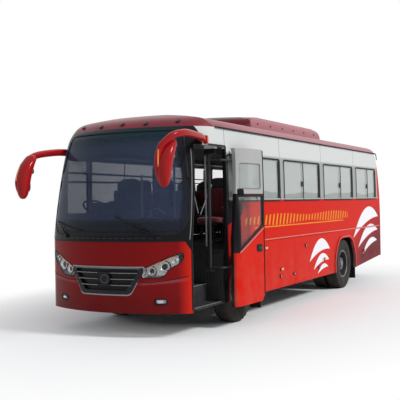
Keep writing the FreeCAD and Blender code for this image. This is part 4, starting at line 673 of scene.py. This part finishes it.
def rounded(points, radius, closed=True, step=0.10, turns=6):
    """Outline of straight runs with rounded corners, as many points."""
    marks = [Vector(point) for point in points]
    path = []
    for i, corner in enumerate(marks):
        if not closed and i in (0, len(marks) - 1):
            path.append(corner)
            continue
        before = marks[i - 1] - corner
        after = marks[(i + 1) % len(marks)] - corner
        reach = min(radius, before.length / 2, after.length / 2)
        start = corner + before.normalized() * reach
        end = corner + after.normalized() * reach
        for j in range(turns + 1):
            t = j / turns
            path.append(start * (1 - t) ** 2 + corner * 2 * t * (1 - t) + end * t * t)
    return divided(path, step, closed)


def box_path(first, last, low, high):
    return [(first, low), (last, low), (last, high), (first, high)]


# Spots on the bodywork


def tree_of(*names):
    """Search tree over the faces of some CAD nodes."""
    points, faces = [], []
    for name in names:
        mesh = NODES[name].data
        first = len(points)
        points += [vertex.co.copy() for vertex in mesh.vertices]
        faces += [[first + i for i in face.vertices] for face in mesh.polygons]
    return BVHTree.FromPolygons(points, faces)


SKIN = tree_of("front_mask", "front_bumper", "windscreen_frame", "windscreen", "headlamps", "fog_lamps",
               "grille", "roof_shell", "rear_wall", "engine_lid", "rear_window", "tail_lamps", "side_wall_left",
               "side_wall_right")
LEAF = tree_of("door_leaf", "door_glass")


def struck(tree, start, towards):
    """Spot where a line of sight first meets the surface."""
    place, normal, _, _ = tree.ray_cast(Vector(start), Vector(towards).normalized())
    if place is None:
        raise ValueError(f"nothing met from {start}")
    return place, normal if normal.dot(Vector(towards)) < 0 else -normal


def side_spot(back, z, side=1):
    rise = max(0.0, z - BELT_Z) / (GUTTER_Z - BELT_Z)
    y = HALF_WIDTH - GUTTER_TUCK * rise * rise
    slope = 2 * GUTTER_TUCK * rise / (GUTTER_Z - BELT_Z)
    return place_at(back, side * y, z), Vector((0, side, slope)).normalized()


def front_spot(y, z):
    return struck(SKIN, (NOSE + 1, y, z), (-1, 0, 0))


def rear_spot(y, z):
    return struck(SKIN, (NOSE - 12, y, z), (1, 0, 0))


def roof_spot(back, y):
    return struck(SKIN, (at(back), y, 5), (0, 0, -1))


def leaf_spot(back, z):
    return struck(LEAF, (at(back), HALF_WIDTH + 1, z), (0, -1, 0))


def joint_spots(levels, ahead, side=1):
    """Spots a little ahead of the joint between the mask and a side wall."""
    return [struck(SKIN, (at(joint_back(z) - ahead), side * 2.5, z), (0, -side, 0)) for z in levels]


def along(find, path, side=1):
    """Spots along a path of two coordinates; side -1 mirrors the first of them."""
    return [find(side * p[0], p[1]) for p in path]


# Side trim


def side_strips(name, look, paths, width, height, closed=False, sides=SIDES):
    """Raised strips over the sides, each path a row of (back, z) points."""
    rows = [[side_spot(p[0], p[1], side) for p in path] for side in sides for path in paths]
    strips(name, look, rows, width, height, closed)


def make_side_trim():
    low, high = WINDOW_LOW_Z, WINDOW_HIGH_Z
    seals = [rounded(box_path(front, rear, low, high), 0.045, step=0.5) for front, rear in WINDOWS]
    side_strips("window_seals", "rubber", seals, 0.024, 0.006, closed=True)
    cab = rounded(box_path(*CAB_WINDOW), 0.045)
    side_strips("cab_window_seal", "rubber", [cab], 0.034, 0.006, closed=True, sides=(-1,))
    bars = [line((back, low + 0.01), (back, high - 0.01), 0.2) for back in DIVIDERS]
    side_strips("window_dividers", "trim_black", bars, 0.018, 0.010)
    posts = [line((rear - 0.035, low + 0.03), (rear - 0.035, high - 0.03), 0.2) for _, rear in WINDOWS]
    side_strips("window_rear_posts", "rubber", posts, 0.070, 0.004)
    catches = [side_spot(back - 0.05, 2.16, side) for side in SIDES for back in DIVIDERS]
    studs("window_catches", "dark_plastic", catches, 0.035, 0.10, 0.012, lift=-0.004, power=4.0)
    gutter = rounded([(1.06, GUTTER_Z), (9.44, GUTTER_Z), (9.475, 2.80)], 0.10, closed=False, step=0.5)
    side_strips("gutter_strips", "rubber", [gutter], 0.026, 0.012)
    # Belt strips: real raised strips whose light grey is partly a painted highlight along the belt
    belt = line((1.92, BELT_STRIP_Z), (SILVER_REAR, BELT_STRIP_Z), 0.5)
    side_strips("belt_strips", "grey", [belt], 0.026, 0.006)
    # Waist mouldings: real raised strips whose pale pink is a painted highlight
    waist = line((2.62, WAIST_Z), (9.55, WAIST_Z), 0.5)
    side_strips("waist_mouldings", "moulding", [waist], 0.022, 0.008)
    arches = []
    for back, half in ARCHES:
        top = half * ARCH_TOP_SHARE
        outline = [(back - half, SILL_Z), (back - half, ARCH_SHOULDER_Z), (back - top, ARCH_TOP_Z),
                   (back + top, ARCH_TOP_Z), (back + half, ARCH_SHOULDER_Z), (back + half, SILL_Z)]
        arches.append(rounded(outline, 0.33, closed=False))
    side_strips("arch_lips", "arch_red", arches, 0.044, 0.014)


def carrier(place):
    """Body of the luggage flap that a place on the side lies on, else the coach body."""
    for name, (low, high) in FLAPS.items():
        if low.x < place.x < high.x and low.z < place.z < high.z and place.y * low.y > 0:
            return name
    return BODY


def make_side_fittings():
    """Side markers and flap locks; those on a luggage flap ride on it."""
    fittings = ((MARKERS, (("marker_bases", "dark_plastic", (0.118, 0.060, 0.006), 4.0),
                           ("side_markers", "amber", (0.100, 0.044, 0.014, 0.005), 4.0))),
                (LOCKS, (("flap_locks", "trim_black", (0.085, 0.060, 0.006), 3.0),
                         ("lock_barrels", "chrome", (0.030, 0.030, 0.008, 0.004), 2.0))))
    made = defaultdict(bmesh.new)
    for side in SIDES:
        for places, kinds in fittings:
            for back, z in places:
                spot = side_spot(back, z, side)
                for kind, look, sizes, power in kinds:
                    stud(made[kind, look, carrier(spot[0])], spot, *sizes, power=power)
    for (kind, look, body), bm in made.items():
        piece(kind if body == BODY else f"{kind}.{body}", bm, look, body)


# Front


def make_front_trim():
    screen = rounded(list(SCREEN) + [(-y, z) for y, z in SCREEN[::-1]], 0.11, step=0.08)
    strips("windscreen_seal", "rubber", [along(front_spot, screen)], 0.036, 0.006, closed=True)
    rim = rounded(GRILLE, 0.045, step=0.06)
    strips("grille_rim", "grille_grey", [along(front_spot, rim)], 0.018, 0.006, closed=True)
    seam = divided([Vector(point) for point in BUMPER_SEAM], 0.05)
    strips("bumper_seams", "rubber", [along(front_spot, seam, side) for side in SIDES], 0.012, 0.003)
    bars = [along(front_spot, line((start, z), (end, z), 0.05), side)
            for z, start, end in GRILLE_BARS for side in SIDES]
    strips("grille_bar_edges", "grille_grey", bars, 0.008, 0.003)
    edge = line((-1.10, HOOD_Z + 0.012), (1.10, HOOD_Z + 0.012), 0.06)
    strips("hood_edge_seal", "rubber", [along(front_spot, edge)], 0.012, 0.005)
    slots = [front_spot(0.10 * i, 1.378) for i in range(-8, 9)]
    studs("cowl_slots", "dark_plastic", slots, 0.070, 0.012, 0.004, power=4.0)
    levels = [1.35 + 0.09 * i for i in range(15)]
    posts = [joint_spots(levels, 0.030, side) for side in SIDES]
    strips("pillar_strips", "strip_grey", posts, 0.015, 0.005)


# Shares of (radius, depth) from a lamp's edge to its middle
BOWL_SHARES = ((1.0, -0.3), (1.0, 1.0), (0.88, 1.0), (0.80, 0.5), (0.55, 0.15), (0.20, 0.0))
DOME_SHARES = ((1.0, -0.3), (1.0, 0.4), (0.85, 0.75), (0.55, 0.95), (0.20, 1.0))


def lamp_disc(bm, centre, normal, radius, depth, shares=BOWL_SHARES):
    """Round reflector: an outer ring that steps back into a bowl, or a domed lens."""
    u = normal.orthogonal().normalized()
    v = normal.cross(u)
    loft(bm, [ring(centre + normal * depth * out, u * radius * share, v * radius * share)
              for share, out in shares])


def make_headlamps():
    """Clear covers from the node's front faces over shells, reflectors and lenses."""
    covers, shells, bowls, rims, lenses, ambers, seals = [bmesh.new() for _ in range(7)]
    mesh = NODES["headlamps"].data
    corners = {}
    for face in mesh.polygons:
        if face.normal.x > 0.25:
            for i in face.vertices:
                if i not in corners:
                    corners[i] = covers.verts.new(mesh.vertices[i].co)
            covers.faces.new([corners[i] for i in face.vertices])
    deep = FORWARD * 0.07
    for side in SIDES:
        outline = along(front_spot, rounded(LAMP, 0.025, step=0.05, turns=4), side)
        sweep(seals, outline, bead(0.014, 0.004), closed=True)
        middle = sum((place for place, _ in outline), Vector()) / len(outline)
        loft(shells, [[place - normal * 0.006 for place, normal in outline],
                      [place.lerp(middle, 0.04) - deep * 0.5 for place, _ in outline],
                      [place.lerp(middle, 0.16) - deep for place, _ in outline]], open_start=True)
        ahead = Vector((1, 0.25 * side, 0)).normalized()
        for y, z, radius in ((0.867, 0.982, 0.074), (0.700, 0.925, 0.058)):
            place, _ = front_spot(side * y, z)
            lamp_disc(bowls, place - ahead * 0.040, ahead, radius, 0.026)
            lamp_disc(rims, place - ahead * 0.036, ahead, radius * 1.10, 0.008)
            lamp_disc(lenses, place - ahead * 0.036, ahead, radius * 0.55, 0.020, DOME_SHARES)
        for y, z, radius in ((0.985, 1.052, 0.026), (1.035, 1.085, 0.022)):
            place, normal = front_spot(side * y, z)
            lamp_disc(bowls, place - normal * 0.022, normal, radius, 0.012)
        place, normal = front_spot(side * 1.075, 1.118)
        lamp_disc(rims, place - normal * 0.018, normal, 0.020, 0.010, DOME_SHARES)
        strip = [(place - normal * 0.008, normal) for place, normal in along(front_spot, LAMP_STRIP, side)]
        sweep(ambers, strip, bead(0.014, 0.003))
    cover = piece("headlamp_covers", covers, "cover")
    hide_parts("headlamps")
    piece("headlamp_shells", shells, "lamp_shell")
    piece("headlamp_bowls", bowls, "chrome")
    piece("headlamp_rims", rims, "trim_black")
    piece("headlamp_lenses", lenses, "cover")
    piece("headlamp_ambers", ambers, "amber")
    piece("headlamp_seals", seals, "rubber")


def make_fog_trim():
    path = rounded(box_path(0.738, 0.898, 0.470, 0.546), 0.038, step=0.05)
    rims = [along(front_spot, path, side) for side in SIDES]
    strips("fog_lamp_rims", "trim_black", rims, 0.018, 0.006, closed=True)
    spots = [front_spot(side * 0.818, 0.508) for side in SIDES]
    studs("fog_lamp_lenses", "chrome", spots, 0.085, 0.034, 0.006, 0.001, slot="lamp_lens", power=3.0)


def make_wipers():
    """Arms from hubs below the glass, each with a long thin blade that follows the screen."""
    arms, blades = bmesh.new(), bmesh.new()
    for hub, tip, low, high in WIPERS:
        spots = along(front_spot, [Vector(hub).lerp(Vector(tip), i / 6) for i in range(7)])
        raised = [place + normal * (0.012 + 0.014 * min(1, i / 2))
                  for i, (place, normal) in enumerate(spots)]
        tube(arms, raised, (0.014, 0.012, 0.011, 0.010, 0.009, 0.008, 0.008))
        stud(arms, spots[0], 0.060, 0.060, 0.030)
        wiped = along(front_spot, [Vector(low).lerp(Vector(high), i / 10) for i in range(11)])
        sweep(blades, [(place + normal * 0.004, normal) for place, normal in wiped], bead(0.014, 0.020, 0.0))
    wipers = piece("wiper_arms", arms, "trim_black")
    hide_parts("wipers")
    piece("wiper_blades", blades, "rubber")


def make_clearance_lamps():
    spots = along(roof_spot, CLEARANCE_LAMPS)
    studs("clearance_lamp_feet", "trim_black", spots, 0.060, 0.085, 0.008, up=FORWARD)
    studs("clearance_lamps", "dome", spots, 0.048, 0.070, 0.020, 0.006, up=FORWARD, dome=0.4)


# Mirrors: routes of the arms as (back, y, z), and the head's (z, back, half depth, half width) from the top

NEAR_ROUTE = ((0.795, 1.18, 2.745), (0.62, 1.235, 2.765), (0.45, 1.27, 2.775), (0.11, 1.31, 2.785),
              (-0.065, 1.31, 2.770), (-0.20, 1.27, 2.737), (-0.275, 1.22, 2.675), (-0.330, 1.17, 2.600),
              (-0.358, 1.140, 2.497), (-0.372, 1.130, 2.360), (-0.372, 1.138, 2.230), (-0.358, 1.160, 2.120))
FAR_ROUTE = ((0.795, 1.18, 2.665), (0.49, 1.19, 2.655), (0.13, 1.195, 2.612), (-0.06, 1.195, 2.565),
             (-0.19, 1.195, 2.495), (-0.29, 1.205, 2.390), (-0.355, 1.215, 2.241), (-0.365, 1.215, 2.120),
             (-0.350, 1.195, 2.010))
HEAD_SECTIONS = ((2.695, -0.150, 0.030, 0.035), (2.675, -0.155, 0.058, 0.070), (2.630, -0.175, 0.078, 0.096),
                 (2.554, -0.235, 0.090, 0.108), (2.434, -0.291, 0.096, 0.104), (2.315, -0.318, 0.096, 0.096),
                 (2.197, -0.332, 0.084, 0.086), (2.120, -0.338, 0.066, 0.070), (2.075, -0.340, 0.040, 0.044),
                 (2.060, -0.340, 0.014, 0.016))
HEAD_PANES = ((2.16, 2.38, -0.325, 0.05), (2.41, 2.60, -0.258, 0.45))


def mirror_side(meshes, side, route, middle_y, drop, strip_y):
    """One mirror: a thick arm that sweeps forward and runs down the front of a rounded head."""
    bm, roots, panes, markers = meshes

    def spot(back, y, z):
        return place_at(back, side * y, z)

    path = curve([spot(*p) for p in route], 5)
    count = len(path)
    radii = tuple(0.056 - 0.012 * min(1.0, i / (count * 0.7)) - 0.022 * max(0.0, i / count - 0.8) / 0.2
                  for i in range(count))
    tube(bm, path, radii, 20)
    rings = []
    for z, back, half_x, half_y in HEAD_SECTIONS:
        centre = spot(back, middle_y, z - drop)
        points = ring(centre, FORWARD * half_x, Vector((0, half_y, 0)), 28, 2.3)
        rear = centre.x - half_x * 0.62
        rings.append([Vector((max(point.x, rear), point.y, point.z)) for point in points])
    loft(bm, rings)
    for low, high, back, lean in HEAD_PANES:
        up = Vector((lean, 0, 1)).normalized()
        centre = spot(back, middle_y, (low + high) / 2 - drop) - FORWARD * 0.058
        stud(panes, (centre, Vector((-1, 0, up.x))), 0.155, high - low, 0.008, up=up, power=3.0)
    root = (spot(*route[0]), Vector((0, side, 0)))
    stud(roots, root, 0.070, 0.125, 0.085, lift=-0.01, power=4.0)
    stud(markers, root, 0.034, 0.085, 0.010, lift=0.072, power=4.0)
    bm.normal_update()
    head = BVHTree.FromBMesh(bm)
    strip = [struck(head, spot(-1.0, strip_y, 2.320 - drop + 0.225 * i / 6), (-1, 0, 0)) for i in range(7)]
    sweep(markers, strip, bead(0.020, 0.005))


def make_mirrors():
    meshes = [bmesh.new() for _ in range(4)]
    mirror_side(meshes, 1, NEAR_ROUTE, 1.205, 0.0, 1.158)
    mirror_side(meshes, -1, FAR_ROUTE, 1.150, 0.112, 1.215)
    arms, roots, panes, markers = meshes
    mirrors = piece("mirror_arms_and_heads", arms, "mirror_red", crease=60)
    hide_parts("mirrors")
    piece("mirror_roots", roots, "mirror_red")
    piece("mirror_panes", panes, "chrome")
    piece("mirror_markers", markers, "amber")


# Door leaf and doorway


def leaf_strip(name, look, path, width, height, closed=True):
    strips(name, look, [along(leaf_spot, path)], width, height, closed, "door_leaf")


def leaf_stud(name, look, back, z, *sizes, power):
    studs(name, look, [leaf_spot(back, z)], *sizes, body="door_leaf", power=power)


def make_leaf_trim():
    upper = [(joint_back(z) + 0.06 + LEAF_SHIFT, z) for z in (2.05, 2.43)] + [(2.080, 2.43), (2.080, 2.05)]
    lower = [(1.405, 1.16), (1.405, 1.95), (2.155, 1.95), (2.155, 1.495)]
    upper, lower = [rounded(outline, 0.03, step=0.06) for outline in (upper, lower)]
    leaf_strip("leaf_light_seals_upper", "strip_grey", upper, 0.012, 0.005)
    leaf_strip("leaf_light_seals_lower", "rubber", lower, 0.045, 0.008)
    leaf_strip("leaf_slant_strip", "grey", line((1.385, 1.105), (2.165, 1.445), 0.06), 0.012, 0.006, False)
    leaf_strip("leaf_rear_rubber", "rubber", line((2.178, 0.43), (2.178, 2.64), 0.1), 0.016, 0.010, False)
    leaf_stud("leaf_handle_recess", "trim_black", 2.02, 1.145, 0.20, 0.125, 0.006, power=4.0)
    leaf_stud("leaf_handle", "dark_plastic", 2.02, 1.145, 0.13, 0.040, 0.018, 0.006, power=3.0)
    leaf_stud("leaf_latch_box", "trim_black", 1.465, 2.000, 0.12, 0.10, 0.016, power=5.0)


def make_doorway():
    """Seals round the opening, bright step edges and the handrails inside."""
    seals = bmesh.new()
    sweep(seals, joint_spots([0.38 + 0.12 * i for i in range(19)], 0.004), bead(0.020, 0.008))
    rear = [side_spot(DOOR_REAR_BACK + 0.012, 0.39 + 0.19 * i) for i in range(13)]
    top = [side_spot(back, DOOR_TOP_Z + 0.012) for back in (0.80, 0.95, 1.10, 1.25, 1.345)]
    for row in (rear, top):
        sweep(seals, row, bead(0.022, 0.010))
    piece("doorway_seals", seals, "rubber")
    nosings = [[(place_at(0.47 + 0.83 * i / 4, y, z), UP) for i in range(5)] for y, z in STEP_EDGES]
    strips("step_nosings", "aluminium", nosings, 0.030, 0.005)
    rods = bmesh.new()
    for low, high in (((1.03, 0.95, 1.70), (0.854, 0.95, 2.109)), ((1.06, 0.97, 1.68), (1.28, 1.05, 2.12))):
        low, high = place_at(*low), place_at(*high)
        tube(rods, [low, low.lerp(high, 0.5), high], 0.009)
    tube(rods, [place_at(1.31, 0.93, z) for z in (1.20, 1.60, 2.00, 2.55)], 0.014)
    tube(rods, [place_at(*p) for p in ((0.50, 0.70, 1.72), (0.62, 0.50, 1.78), (0.66, 0.37, 1.76),
                                       (0.66, 0.36, 1.16))], 0.016)
    piece("doorway_rods", rods, "handrail")


# Wheels: axle, names of wheel and tyre, place, middles of the tyres, hub face and cap

AXLES = (("front", "wheel", "tyre", FRONT_AXLE_BACK, (1.020,), 1.090, 1.124),
         ("rear", "wheels", "tyres", REAR_AXLE_BACK, (1.085, 0.775), 0.930, 1.155))
NAMED_SIDES = (("left", 1), ("right", -1))
RIM_RING = ((0.0, 0.286), (0.008, 0.284), (0.010, 0.276), (0.004, 0.268), (-0.010, 0.266), (-0.010, 0.284))


def turned(bm, profile, centre, side, count=96, tread=0.010):
    """Turn a profile of (out, radius, notched) points about the axle; tread notches the marked ones."""
    rings = []
    for out, radius, notched in profile:
        row = []
        for i in range(count):
            turn = 2 * math.pi * i / count
            r = radius - (tread if notched and i % 3 == 0 else 0.0)
            row.append(centre + Vector((math.cos(turn) * r, side * out, math.sin(turn) * r)))
        rings.append(row)
    loft(bm, rings, closed=True)


def tyre_profile():
    half = 0.130
    crown = WHEEL_RADIUS
    out = [(-half * 0.77, 0.287, 0), (-half * 0.86, 0.305, 0), (-half * 0.97, 0.345, 0), (-half, 0.385, 0),
           (-half * 0.985, 0.430, 0), (-half * 0.93, 0.468, 0), (-half * 0.95, crown - 0.028, 1),
           (-half * 0.88, crown - 0.006, 1), (-half * 0.70, crown - 0.001, 1)]
    for middle in (-0.52, -0.17):
        out += [(half * (middle - 0.06), crown, 0), (half * (middle - 0.045), crown - 0.012, 0),
                (half * (middle + 0.045), crown - 0.012, 0), (half * (middle + 0.06), crown, 0)]
    return out + [(-o, r, n) for o, r, n in out[::-1]]


def make_tyres():
    for axle, wheel, tyre, back, middles, _, _ in AXLES:
        for name, side in NAMED_SIDES:
            bm = bmesh.new()
            for y in middles:
                turned(bm, tyre_profile(), place_at(back, side * y, WHEEL_RADIUS), side)
            body = f"{axle}_{wheel}_{name}"
            rubber = piece(f"{axle}_{tyre}_{name}_treaded", bm, "tyre", body, crease=35)
            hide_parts(f"{axle}_{tyre}_{name}")


def make_wheel_fittings():
    """Nuts round each hub, a hub cap and a bright ring on the rim."""
    for axle, wheel, _, back, middles, face, cap in AXLES:
        for name, side in NAMED_SIDES:
            bm = bmesh.new()
            centre = place_at(back, 0, WHEEL_RADIUS)
            out = Vector((0, side, 0))
            for count, shift, radius, level, size, depth in ((10, 0.5, 0.142, face, 0.034, 0.030),
                                                             (8, 0.0, 0.085, cap, 0.020, 0.010)):
                for i in range(count):
                    turn = 2 * math.pi * (i + shift) / count
                    arm = Vector((math.cos(turn), 0, math.sin(turn)))
                    stud(bm, (centre + arm * radius + out * level, out), size, size, depth, up=arm, count=6)
            stud(bm, (centre + out * cap, out), 0.120, 0.120, 0.020, count=32, dome=0.6)
            rim_y = middles[0] + 0.098
            loft(bm, [ring(centre + out * (rim_y + o), FORWARD * r, UP * r, 64) for o, r in RIM_RING],
                 closed=True)
            piece(f"{axle}_wheel_nuts_{name}", bm, "wheel_steel", f"{axle}_{wheel}_{name}")


# Seats

SEAT_ROWS = 9
SEAT_FIRST = 2.05
SEAT_PITCH = 0.77
SEAT_WIDTH = 0.44
SEAT_GAP = 0.016
SEAT_OUTER_Y = HALF_WIDTH - 0.0653
BENCH_SEATS = 5
PILLOW_CUTS = 5


def pillow(bm, centre, size, turn, crown=0.0, power=4.0):
    """Rounded crowned pad; size is (long, wide, thick), turn leans it about the cross axis."""
    lean = Matrix.Rotation(math.radians(turn), 3, "Y")
    made = {}

    def corner(p):
        key = tuple(round(c, 5) for c in p)
        if key not in made:
            q = Vector(p)
            q = q / (abs(q.x) ** power + abs(q.y) ** power + abs(q.z) ** power) ** (1 / power)
            swell = 1.0 + crown * (1 - q.x * q.x) * (1 - q.y * q.y)
            q = Vector((q.x * size[0] / 2, q.y * size[1] / 2, q.z * swell * size[2] / 2))
            made[key] = bm.verts.new(centre + lean @ q)
        return made[key]

    grid = [-1 + 2 * i / PILLOW_CUTS for i in range(PILLOW_CUTS + 1)]
    for axis in range(3):
        for end in (-1, 1):
            for a, a2 in zip(grid, grid[1:]):
                for b, b2 in zip(grid, grid[1:]):
                    loop = []
                    for u, v in ((a, b), (a2, b), (a2, b2), (a, b2)):
                        p = [u, v]
                        p.insert(axis, end)
                        loop.append(corner(p))
                    bm.faces.new(loop if end > 0 else loop[::-1])


def coach_seat(pads, frames, back, y, width):
    """Cushion, tall back and headrest over a shell, side arms and a leg frame."""
    pad = width - 0.03

    def spot(behind, rise, out=0.0):
        return place_at(back + behind, y + out, FLOOR_Z + rise)

    pillow(pads, spot(0.215, 0.405), (0.43, pad, 0.105), -3, crown=0.25)
    pillow(pads, spot(0.475, 0.690), (0.085, pad * 0.92, 0.50), 12)
    pillow(pads, spot(0.530, 1.010), (0.080, pad * 0.74, 0.20), 12)
    for side in (-1, 1):
        pillow(pads, spot(0.455, 0.690, side * pad * 0.40), (0.080, pad * 0.16, 0.48), 12)
    pillow(frames, spot(0.532, 0.760), (0.030, pad * 0.90, 0.66), 12, power=6.0)
    pillow(frames, spot(0.215, 0.345), (0.40, pad * 0.94, 0.030), -3, power=6.0)
    for side in (-1, 1):
        for out, path in ((0.47, ((0.46, 0.62), (0.30, 0.625), (0.14, 0.60))),
                          (0.25, ((0.08, 0.33), (0.10, 0.05), (0.40, 0.05), (0.42, 0.33)))):
            arm = Vector((0, side * width * out, 0))
            tube(frames, [spot(*p) + arm for p in path], 0.016, 8)


def seat_set(pads_name, frames_name, look, seats):
    """Pads and frames of some seats, each seat given by its back, y and width."""
    pads, frames = bmesh.new(), bmesh.new()
    for seat in seats:
        coach_seat(pads, frames, *seat)
    made = piece(pads_name, pads, look, crease=70)
    piece(frames_name, frames, "dark_plastic")
    return made


def make_seats():
    outer = SEAT_OUTER_Y
    seats = [(SEAT_FIRST + SEAT_PITCH * row, side * (outer - SEAT_WIDTH / 2 - (SEAT_WIDTH + SEAT_GAP) * place),
              SEAT_WIDTH) for row in range(SEAT_ROWS) for place in range(2) for side in SIDES]
    width = (2 * outer + SEAT_GAP) / BENCH_SEATS - SEAT_GAP
    seats += [(SEAT_FIRST + SEAT_PITCH * SEAT_ROWS, -outer + width / 2 + place * (width + SEAT_GAP), width)
              for place in range(BENCH_SEATS)]
    pads = seat_set("seat_pads", "seat_frames", "seat_cloth", seats)
    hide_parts("passenger_seats")
    pads = seat_set("driver_seat_pads", "driver_seat_frame", "seat_grey", [(1.12, -0.64, 0.52)])
    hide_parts("driver_seat")


# Rear and roof


def make_rear_trim():
    seals = bmesh.new()
    window = rounded(box_path(-0.9, 0.9, 1.93, 2.70), 0.11, step=0.08)
    sweep(seals, along(rear_spot, window), bead(0.036, 0.008), closed=True)
    lamp = rounded(box_path(0.98, 1.11, 0.79, 1.21), 0.025, step=0.05)
    for side in SIDES:
        sweep(seals, along(rear_spot, lamp, side), bead(0.014, 0.005), closed=True)
        for z in (0.93, 1.07):
            sweep(seals, along(rear_spot, line((0.985, z), (1.105, z), 0.04), side), bead(0.010, 0.004))
    piece("rear_seals", seals, "rubber")
    louvres = [along(rear_spot, line((0.30, z), (0.72, z), 0.07), side)
               for z in [0.76 + 0.045 * i for i in range(9)] for side in SIDES]
    strips("lid_louvres", "dark_plastic", louvres, 0.026, 0.010, body="engine_lid")
    studs("blank_plate", "silver", [rear_spot(0, 0.80)], 0.50, 0.16, 0.008, body="engine_lid", power=8.0)
    studs("lid_handle", "trim_black", [rear_spot(0, 1.02)], 0.18, 0.045, 0.022, body="engine_lid", power=4.0)
    markers = [rear_spot(y, 2.83) for y in (-0.75, -0.25, 0.25, 0.75)]
    studs("rear_marker_lamps", "tail_lens", markers, 0.10, 0.04, 0.014)
    turns = [rear_spot(side * 1.045, 1.14) for side in SIDES]
    studs("rear_turn_lenses", "amber", turns, 0.095, 0.095, 0.006, 0.001, power=4.0)
    rub = along(rear_spot, line((-1.15, 0.605), (1.15, 0.605), 0.08))
    strips("rear_rub_strip", "rubber", [rub], 0.060, 0.018)


def make_roof_details():
    pod = tree_of("roof_unit")

    def top(back, y):
        return struck(pod, (at(back), y, 5), (0, 0, -1))

    clips = [struck(pod, (at(3.45 + 0.56 * i), side * 2, 3.20), (0, -side, 0))
             for side in SIDES for i in range(6)]
    studs("roof_unit_clips", "trim_black", clips, 0.035, 0.030, 0.008, power=4.0)
    vents = [[top(4.2 + 0.22 * j, side * (0.14 + 0.075 * i)) for j in range(6)]
             for i in range(7) for side in SIDES]
    strips("roof_unit_vents", "dark_plastic", vents, 0.030, 0.006)
    strips("roof_unit_seam", "rubber", [[top(3.16, 0.80 - 0.16 * i) for i in range(11)]], 0.020, 0.006)


# Camera, light and floor


def aim(obj, place, forward, up):
    """Place an object and point its -Z along forward."""
    back = -forward.normalized()
    right = up.cross(back).normalized()
    turn = Matrix((right, back.cross(right), back)).transposed().to_4x4()
    obj.matrix_world = Matrix.Translation(place) @ turn


def make_camera():
    yaw, pitch, roll = [math.radians(a) for a in (CAMERA_YAW, CAMERA_PITCH, CAMERA_ROLL)]
    forward = Vector((-math.cos(yaw) * math.cos(pitch), -math.sin(yaw) * math.cos(pitch), math.sin(pitch)))
    right = forward.cross(UP).normalized()
    up = right.cross(forward) * math.cos(roll) - right * math.sin(roll)
    camera = bpy.data.objects.new("camera", bpy.data.cameras.new("camera"))
    camera.data.lens = CAMERA_LENS
    camera.data.sensor_width = 36.0
    bpy.context.scene.collection.objects.link(camera)
    aim(camera, Vector((NOSE + CAMERA_AHEAD, CAMERA_LEFT, CAMERA_UP)), forward, up)
    bpy.context.scene.camera = camera


def background_rays(tree):
    """1 for rays that should meet the white backdrop: the camera's, and those that metal and glass send on."""
    outputs = tree.nodes.new("ShaderNodeLightPath").outputs
    seen, mirrored, passed = [Field(tree, outputs[name]) for name in
                              ("Is Camera Ray", "Is Glossy Ray", "Is Transmission Ray")]
    return seen.most(mirrored).most(passed)


def blend(tree, share, first, second, target):
    """Feed a target with two shaders, mixed by the share of the second."""
    mixer = tree.nodes.new("ShaderNodeMixShader")
    for value, slot in zip((share, first.outputs[0], second.outputs[0]), mixer.inputs):
        feed(tree, value, slot)
    feed(tree, mixer.outputs[0], target)


def make_lights():
    sun = bpy.data.objects.new("sun", bpy.data.lights.new("sun", "SUN"))
    sun.data.energy = 2.5
    sun.data.angle = math.radians(12)
    bpy.context.scene.collection.objects.link(sun)
    aim(sun, Vector((0, 10, 10)), Vector((0.10, -1.0, -0.85)), UP)
    world = bpy.data.worlds.new("studio")
    bpy.context.scene.world = world
    world.use_nodes = True
    tree = world.node_tree
    sky = tree.nodes["Background"]
    feed(tree, (0.86, 0.93, 1.0), sky.inputs["Color"])
    feed(tree, 0.42, sky.inputs["Strength"])
    white = add_node(tree, "Background", Color=(1, 1, 1))
    blend(tree, background_rays(tree), sky, white, tree.nodes["World Output"].inputs[0])
    bpy.context.scene.view_settings.view_transform = "Standard"


def make_floor():
    """Pale floor that melts into the white background away from the vehicle."""
    mesh = bpy.data.meshes.new("floor")
    bm = bmesh.new()
    bmesh.ops.create_circle(bm, cap_ends=True, segments=96, radius=60.0)
    bm.to_mesh(mesh)
    bm.free()
    floor = bpy.data.objects.new("floor", mesh)
    bpy.context.scene.collection.objects.link(floor)
    m = Maker("floor_pale", (0.86, 0.86, 0.86), 0.9)
    reach = (m.x * m.x * 0.35 + m.y * m.y).math("SQRT").above(3.6, 1.6)
    glow = m.tree.nodes.new("ShaderNodeEmission")
    surface = m.tree.nodes["Material Output"].inputs["Surface"]
    blend(m.tree, reach * background_rays(m.tree), m.shader, glow, surface)
    mesh.materials.append(m.done())


make_camera()
make_lights()
make_floor()
dress()
make_side_trim()
make_side_fittings()
make_front_trim()
make_headlamps()
make_fog_trim()
make_wipers()
make_clearance_lamps()
make_mirrors()
make_leaf_trim()
make_doorway()
make_tyres()
make_wheel_fittings()
make_seats()
make_rear_trim()
make_roof_details()
